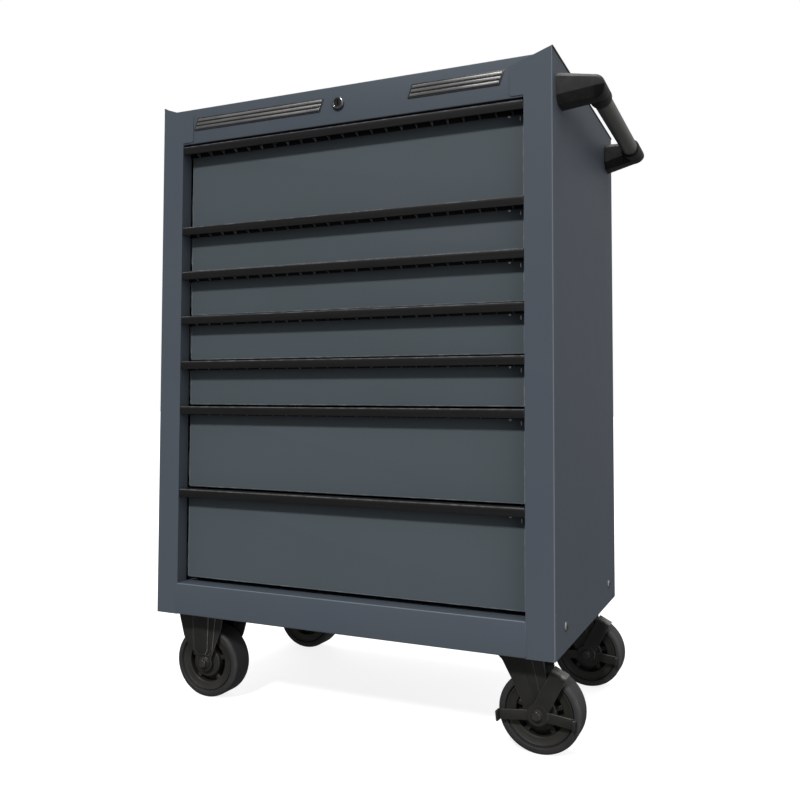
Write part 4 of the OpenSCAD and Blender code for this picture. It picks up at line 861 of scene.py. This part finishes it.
def wheel(name, body):
    # core: ring and hub profiles turned about Y, a thin web behind, and spokes between; tyre: rounded shoulders
    # with a groove where the tyre meets the core
    w = wheelWork
    low, high = boxOf("tyre_" + name)
    centre = (low + high) / 2
    r, half = (high[2] - low[2]) / 2, (high[1] - low[1]) / 2
    a = w["ringHalf"]
    ring = [[w["ringIn"], -16], [w["ringIn"] + 0.3, -19.6], [w["ringIn"] + 1.2, -20.4],
            [w["ringIn"] + 6, -20.9], [w["core"] - 3.4, -a + 1.1],
            [w["core"] - 2.6, -a], [w["core"] - 0.8, -a], [w["core"] - 0.1, -a + 1]]
    ring = np.array(ring + [[p, -q] for p, q in ring[::-1]])
    b = w["hubHalf"]
    hub = [[w["bore"], -b], [8.6, -b], [9.4, -b + 0.8], [10.5, -24], [w["hub"] - 1.6, -23],
           [w["hub"], -21.6], [w["hub"] + 0.6, -w["web"]]]
    hub = np.array(hub + [[p, -q] for p, q in hub[::-1]])
    web = np.array([[w["hub"] - 1, -w["web"]], [w["ringIn"] + 3, -w["web"]],
                    [w["ringIn"] + 3, w["web"]], [w["hub"] - 1, w["web"]]])
    ringRadii = [0.4, 0.6, 0.4, 0.4, 0.5, 0.5, 0.4, 0, 0, 0.4, 0.5, 0.5, 0.4, 0.4, 0.6, 0.4]
    hubRadii = [0, 0.4, 0.4, 1.5, 0.8, 0.5, 0, 0, 0.5, 0.8, 1.5, 0.4, 0.4, 0]
    parts = [turned(rounded(ring, ringRadii, 3), centre, segments=120, looped=True),
             turned(rounded(hub, hubRadii, 3), centre, segments=96, looped=True),
             turned(web, centre, segments=96, looped=True)]
    for k in range(w["spokes"]):
        angle = 2 * math.pi * k / w["spokes"] + math.pi / 2
        s = w["spokeWidth"] / 2
        inner, outer = w["hub"] - 2, w["ringIn"] + 2.5
        outline = np.array([[inner, -s], [outer, -s * 1.25], [outer, s * 1.25], [inner, s]])
        turn = np.array([[math.cos(angle), math.sin(angle)], [-math.sin(angle), math.cos(angle)]])
        spoke = carried(rounded(outline @ turn, 0.8, 3), -15.5, 15.5, "y", 0.8)
        parts.append((spoke[0] + centre, spoke[1], spoke[2]))
    addPiece("wheelCore_" + name, parts, body, "wheelPlastic", ["wheel_core_" + name])
    c = w["shoulder"]
    t = np.linspace(0, math.pi / 2, 10)
    inner = w["core"] + 0.05
    left = [[inner, -half + 4.5], [inner + 1.2, -half + 3], [inner + 1.7, -half + 0.5],
            [inner + 2.4, -half]]
    left += [[r - c + c * math.sin(a), -half + c - c * math.cos(a)] for a in t]
    profile = np.array(left + [[p, -q] for p, q in left[::-1]])
    edge = np.clip((profile[:, 0] - (r - c)) / c, 0, 1) * np.clip(r - profile[:, 0], 0, 1)
    addPiece("tyreRound_" + name, [turned(profile, centre, segments=160, looped=True, edge=edge)], body,
             "tyre", ["tyre_" + name])
    return centre


forkWork = {"plateLength": 113, "plateWidth": 102, "plate": 3.5, "legIn": 28.5, "leg": 3.2, "narrow": 39,
            "tip": 15, "rib": 3.6, "race": 32, "raceHeight": 11, "crown": 4, "trail": 38,
            "king": 6, "hole": 4.3}


def around(points, centre):
    return [(p + centre, f, e) for p, f, e in points]


def bothLegs(outline, low, high, rim):
    # the same pressed plate in front of the wheel and behind it
    leg = carried(outline, -high, -low, "y", rim)
    return [leg, mirroredY(leg, 0)]


def topPlate(z1):
    w = forkWork
    a, b = w["plateLength"] / 2, w["plateWidth"] / 2
    outline = rounded([[-a, -b], [a, -b], [a, b], [-a, b]], 7)
    return carried(outline, z1 - w["plate"], z1, "z", 0.6)


def fixedFork(centres, plateTop):
    # leg: sides sweep in from the plate to a round tip; a narrower pressed rib stands on its middle
    w = forkWork
    parts = []
    for centre in centres:
        z1 = plateTop - w["plate"] - centre[2]
        half = w["plateLength"] / 2
        tip = w["tip"]
        angle = np.radians(np.linspace(150, 390, 17))
        leg = np.concatenate([
            rounded([[0, z1], [-half, z1], [-half + 2.5, z1 - 20], [-half + 14, z1 - 62],
                     [tip * math.cos(angle[0]), tip * math.sin(angle[0])]], [0, 2, 25, 40, 0], 6, False),
            tip * np.stack([np.cos(angle), np.sin(angle)], -1)[1:-1],
            rounded([[tip * math.cos(angle[-1]), tip * math.sin(angle[-1])], [w["narrow"] - 6, z1 - 40],
                     [w["narrow"], z1], [0.01, z1]], [0, 60, 2, 0], 6, False)])
        rib = rounded([[-24, z1], [10, z1], [8, 22], [3, 13.5], [-12, 13.5],
                       [-20, 24]], [0.5, 0.5, 6, 5, 5, 6], 6)
        step = rounded([[-27, z1], [25, z1], [17, 22], [9, 13], [-14, 13],
                        [-23, 24]], [0.5, 0.5, 6, 5, 5, 6], 6)
        own = [topPlate(plateTop - centre[2])]
        face = w["legIn"] + w["leg"]
        for shape, rise, rim in ((leg, 0, 0.7), (step, w["rib"] * 0.45, 1), (rib, w["rib"], 1)):
            plate = carried(shape, -face - rise, -face + w["leg"], "y", rim)
            # the pressed step and rib get three times the rim mark, so their edges are painted as bright highlight
            # lines
            if rise:
                plate = (plate[0], plate[1], plate[2] * 3)
            own += [plate, mirroredY(mirrored(plate, 0), 0)]
        own += [turned([[11, s * (w["legIn"] + w["leg"] - 0.2)], [11, s * (w["legIn"] + w["leg"] + 1)],
                        [10.2, s * (w["legIn"] + w["leg"] + 1.5)]], [0, 0, 0]) for s in (-1, 1)]
        parts += around(own, centre)
    addPiece("fixedForks", parts, "cabinet", "fork", ["rigid_forks"])


def swivelFork(end, centre, plateTop):
    # legs rake back from the crown to the axle; the crown is a dished plate under the ball race
    w = forkWork
    crownTop = boxOf("fork_" + end)[1][2] - centre[2]
    x = -w["trail"]
    x0, x1 = x - w["race"] + 2, x + w["race"] + 14
    tip = w["tip"]
    angle = np.radians(np.linspace(210, 360, 13))
    leg = np.concatenate([
        rounded([[(x0 + x1) / 2, crownTop - 0.4], [x0, crownTop - 0.4], [x - 16, crownTop - 14],
                 [x - 3, crownTop - 38], [tip * math.cos(angle[0]), tip * math.sin(angle[0])]],
                [0, 2, 14, 30, 0], 6, False),
        tip * np.stack([np.cos(angle), np.sin(angle)], -1)[1:-1],
        rounded([[tip, 0], [tip, 36], [x1, crownTop - 0.4], [(x0 + x1) / 2 + 0.01, crownTop - 0.4]],
                [0, 20, 2, 0], 6, False)])
    out = w["legIn"] + w["leg"]
    parts = bothLegs(leg, w["legIn"], out, 0.7)
    crown = rounded([[x0, -out], [x1, -out], [x1, out], [x0, out]], [9, 5, 5, 9], 6)
    parts.append(carried(crown, crownTop - w["crown"], crownTop, "z", 1))
    rib = rounded([[x + 8, crownTop - 8], [x + 30, crownTop - 8], [6, 20],
                   [-6, 20]], 4, 5)
    parts += bothLegs(rib, out - 1, out + 0.8, 0.7)
    addPiece("swivelFork_" + end, around(parts, centre), "swivel_" + end, "fork", ["fork_" + end])


def swivelTops(centres, plateTop):
    # plate, stepped ball race and king pin of each swivel caster
    w = forkWork
    parts = []
    for centre in centres:
        z = plateTop - centre[2]
        race = z - w["plate"] - w["raceHeight"]
        x = -w["trail"]
        rings = [[w["race"] - 1.5, race], [w["race"], race + 1.2], [w["race"], race + 5],
                 [w["race"] - 3, race + 6.2], [w["race"] - 2.4, race + 9.5],
                 [w["race"] + 1, race + w["raceHeight"] + 0.2]]
        pin = boxOf("swivel_plates")[0][2] - centre[2]
        own = [topPlate(z)]
        own[0] = (own[0][0] + [x, 0, 0], own[0][1], own[0][2])
        own.append(turned(rings, [x, 0, 0], "z"))
        own.append(turned([[w["king"], race + 1], [w["king"], pin + 9]], [x, 0, 0], "z", 48))
        own.append(turned(hexLevels(8.6, pin + 9.6, pin), [x, 0, 0], "z"))
        parts += around(own, centre)
    addPiece("swivelTops", parts, "cabinet", "fork", ["swivel_plates"])


leverWork = {"plane": -32.7, "hub": 16.5, "steel": 4, "bend": 1.6,
             # angle, reach, width and tab of each arm; a negative tab points back over the tyre
             "arms": [(186, 64, 15, 16), (-6, 60, 15, 12), (63, 73, 24, -20)]}


def brakeLever(end, centre):
    # three bent arms on a hub disc: each is a bent strip carried across its width, then turned about the axle
    w = leverWork
    plane = w["plane"]
    t = w["steel"]
    parts = [turned([[w["hub"] - 1.2, plane - t - 0.25], [w["hub"], plane - t + 0.9],
                     [w["hub"], plane - 0.9], [w["hub"] - 0.9, plane + 0.15]], [0, 0, 0], segments=96)]
    for angle, reach, width, tab in w["arms"]:
        inner = plane if tab > 0 else plane - t
        bendAt = reach - (t if tab > 0 else 0)
        path = [[w["hub"] - 4, inner], [bendAt - 5, inner], [bendAt, inner], [bendAt, plane - tab]]
        profile = sheetProfile(path, t * 0.8, [0, 0, w["bend"], 0], side=-1 if tab > 0 else 1)
        strip = carried(profile, -width / 2, width / 2, "z", 0.6)
        x, y, z = strip[0].T
        # the tab faces at each arm's end are marked strongly, so the rim colour paints them as bright highlights
        mark = np.where(x > reach - 0.7 * t, 2.0, strip[2])
        a = math.radians(angle)
        points = np.stack([x * math.cos(a) - z * math.sin(a), y, x * math.sin(a) + z * math.cos(a)], -1)
        parts.append((points, strip[1], mark))
    addPiece("brakeLever_" + end, around(parts, centre), "brake_" + end, "fork", ["brake_" + end])


def axle(name, centres, front, back, body, nodes):
    # bolt with a flanged hexagon head in front and a lock nut behind
    parts = []
    for centre in centres:
        own = [turned([[5, -front - 6], [5, back + 6]], [0, 0, 0], segments=40)]
        for s, at in ((-1, front), (1, back)):
            own.append(turned([[8.2, s * at], [8.2, s * (at + 0.7)], [7.8, s * (at + 1)]], [0, 0, 0]))
            own.append(turned(hexLevels(6.4, s * (at + 0.9), s * (at + 7)), [0, 0, 0]))
        parts += around(own, centre)
    addPiece(name, parts, body, "darkSteel", nodes)


leftCentres = [wheel("left_" + end, "wheel_left_" + end) for end in ("front", "rear")]
rightCentres = [wheel("right_" + end, "wheel_right_" + end) for end in ("front", "rear")]
plateTop = boxOf("rigid_forks")[1][2]
fixedFork(leftCentres, plateTop)
axle("fixedAxles", leftCentres, 33.2, 33.2, "cabinet", ["rigid_axles"])
swivelTops(rightCentres, plateTop)
for end, centre in zip(("front", "rear"), rightCentres):
    swivelFork(end, centre, plateTop)
    brakeLever(end, centre)
    axle("swivelAxle_" + end, [centre], 37.2, 32.6, "swivel_" + end, ["axle_" + end])
print("casters made")


dressed = {"side_panel_left": "paint", "side_panel_right": "paint", "bottom_pan": "paint", "top_tray": "paint",
           "caster_doublers": "zinc", "slide_posts": "zinc", "slide_channels": "zinc", "lock_rod": "zinc",
           "lock_bar": "zinc", "caster_bolts": "boltSteel"}
dressed.update({"slide_middle_%d" % n: "zinc" for n in range(1, drawerCount + 1)})
for node, finish in dressed.items():
    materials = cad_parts[node].data.materials
    materials.clear()
    materials.append(made[finish])


studio = {"floorSize": 60.0, "floorTone": 0.3, "floorGlow": 0.84, "skyLight": 0.37, "groundLight": 0.13, "skySeen": 1.0}
# height above the floor, turn from straight in front towards the right, softness (all degrees), and power
lamps = {"keyLight": (39.0, 0.0, 6.0, 2.58), "sideFill": (14.0, 80.0, 100.0, 1.68),
         "backFill": (30.0, 215.0, 60.0, 1.3), "topLight": (78.0, 180.0, 35.0, 2.2)}


def makeFloor():
    mesh = bpy.data.meshes.new("studioFloor")
    s = studio["floorSize"]
    mesh.from_pydata([(-s, -s, 0), (s, -s, 0), (s, s, 0), (-s, s, 0)], [], [(0, 1, 2, 3)])
    floor = bpy.data.objects.new("studioFloor", mesh)
    bpy.context.scene.collection.objects.link(floor)
    material = bpy.data.materials.new("paleFloor")
    material.use_nodes = True
    shader = material.node_tree.nodes["Principled BSDF"]
    shader.inputs["Base Color"].default_value = (*[studio["floorTone"]] * 3, 1)
    shader.inputs["Roughness"].default_value = 0.9
    shader.inputs["Specular IOR Level"].default_value = 0.1
    shader.inputs["Emission Color"].default_value = (1, 1, 1, 1)
    shader.inputs["Emission Strength"].default_value = studio["floorGlow"]
    mesh.materials.append(material)
    floor.visible_diffuse = floor.visible_glossy = False


def sunLight(name, height, side, soft, power):
    # shines from a height above the floor and a turn from straight in front towards the right
    lamp = bpy.data.lights.new(name, "SUN")
    lamp.angle = math.radians(soft)
    lamp.energy = power
    light = bpy.data.objects.new(name, lamp)
    bpy.context.scene.collection.objects.link(light)
    e, a = math.radians(height), math.radians(side)
    away = Vector((math.sin(a) * math.cos(e), -math.cos(a) * math.cos(e), math.sin(e)))
    light.rotation_euler = (-away).to_track_quat("-Z", "Y").to_euler()


def makeLights():
    for name, values in lamps.items():
        sunLight(name, *values)
    world = bpy.data.worlds.new("studioWorld")
    bpy.context.scene.world = world
    world.use_nodes = True
    tree = world.node_tree
    tree.nodes.clear()
    out = tree.nodes.new("ShaderNodeOutputWorld")
    lit, seen, mix, path = (tree.nodes.new("ShaderNode" + kind)
                            for kind in ("Background", "Background", "MixShader", "LightPath"))
    split = tree.nodes.new("ShaderNodeSeparateXYZ")
    tree.links.new(tree.nodes.new("ShaderNodeTexCoord").outputs["Generated"], split.inputs[0])
    height = rampNode(tree, split.outputs["Z"], -0.25, 0.25)
    strength = mathNode(tree, "MULTIPLY", height, studio["skyLight"] - studio["groundLight"])
    tree.links.new(mathNode(tree, "ADD", strength, studio["groundLight"]), lit.inputs["Strength"])
    seen.inputs["Strength"].default_value = studio["skySeen"]
    for node in (lit, seen):
        node.inputs["Color"].default_value = (1, 1, 1, 1)
    tree.links.new(path.outputs["Is Camera Ray"], mix.inputs[0])
    tree.links.new(lit.outputs[0], mix.inputs[1])
    tree.links.new(seen.outputs[0], mix.inputs[2])
    tree.links.new(mix.outputs[0], out.inputs[0])


viewpoint = {"place": (0.6125, -1.6602, 0.5198), "yaw": 27.115, "pitch": 2.795, "roll": 0.437, "lens": 42.22,
             "shiftX": 0.1245, "shiftY": -0.0496}


def makeCamera():
    # yaw turns the view towards -X, pitch lifts it, and roll turns it about the line of sight
    v = viewpoint
    yaw, pitch, roll = (math.radians(v[k]) for k in ("yaw", "pitch", "roll"))
    ahead = Vector((-math.sin(yaw) * math.cos(pitch), math.cos(yaw) * math.cos(pitch), math.sin(pitch)))
    level = Vector((math.cos(yaw), math.sin(yaw), 0))
    upright = level.cross(ahead)
    right = math.cos(roll) * level + math.sin(roll) * upright
    up = -math.sin(roll) * level + math.cos(roll) * upright
    data = bpy.data.cameras.new("viewCamera")
    data.sensor_width, data.lens = 36, v["lens"]
    data.shift_x, data.shift_y = v["shiftX"], v["shiftY"]
    data.clip_start, data.clip_end = 0.05, 200
    camera = bpy.data.objects.new("viewCamera", data)
    bpy.context.scene.collection.objects.link(camera)
    turn = Matrix((right, up, -ahead)).transposed().to_4x4()
    camera.matrix_world = Matrix.Translation(v["place"]) @ turn
    bpy.context.scene.camera = camera


makeFloor()
makeLights()
makeCamera()
bpy.context.scene.view_settings.view_transform = "Standard"
print("floor, lights and camera made")
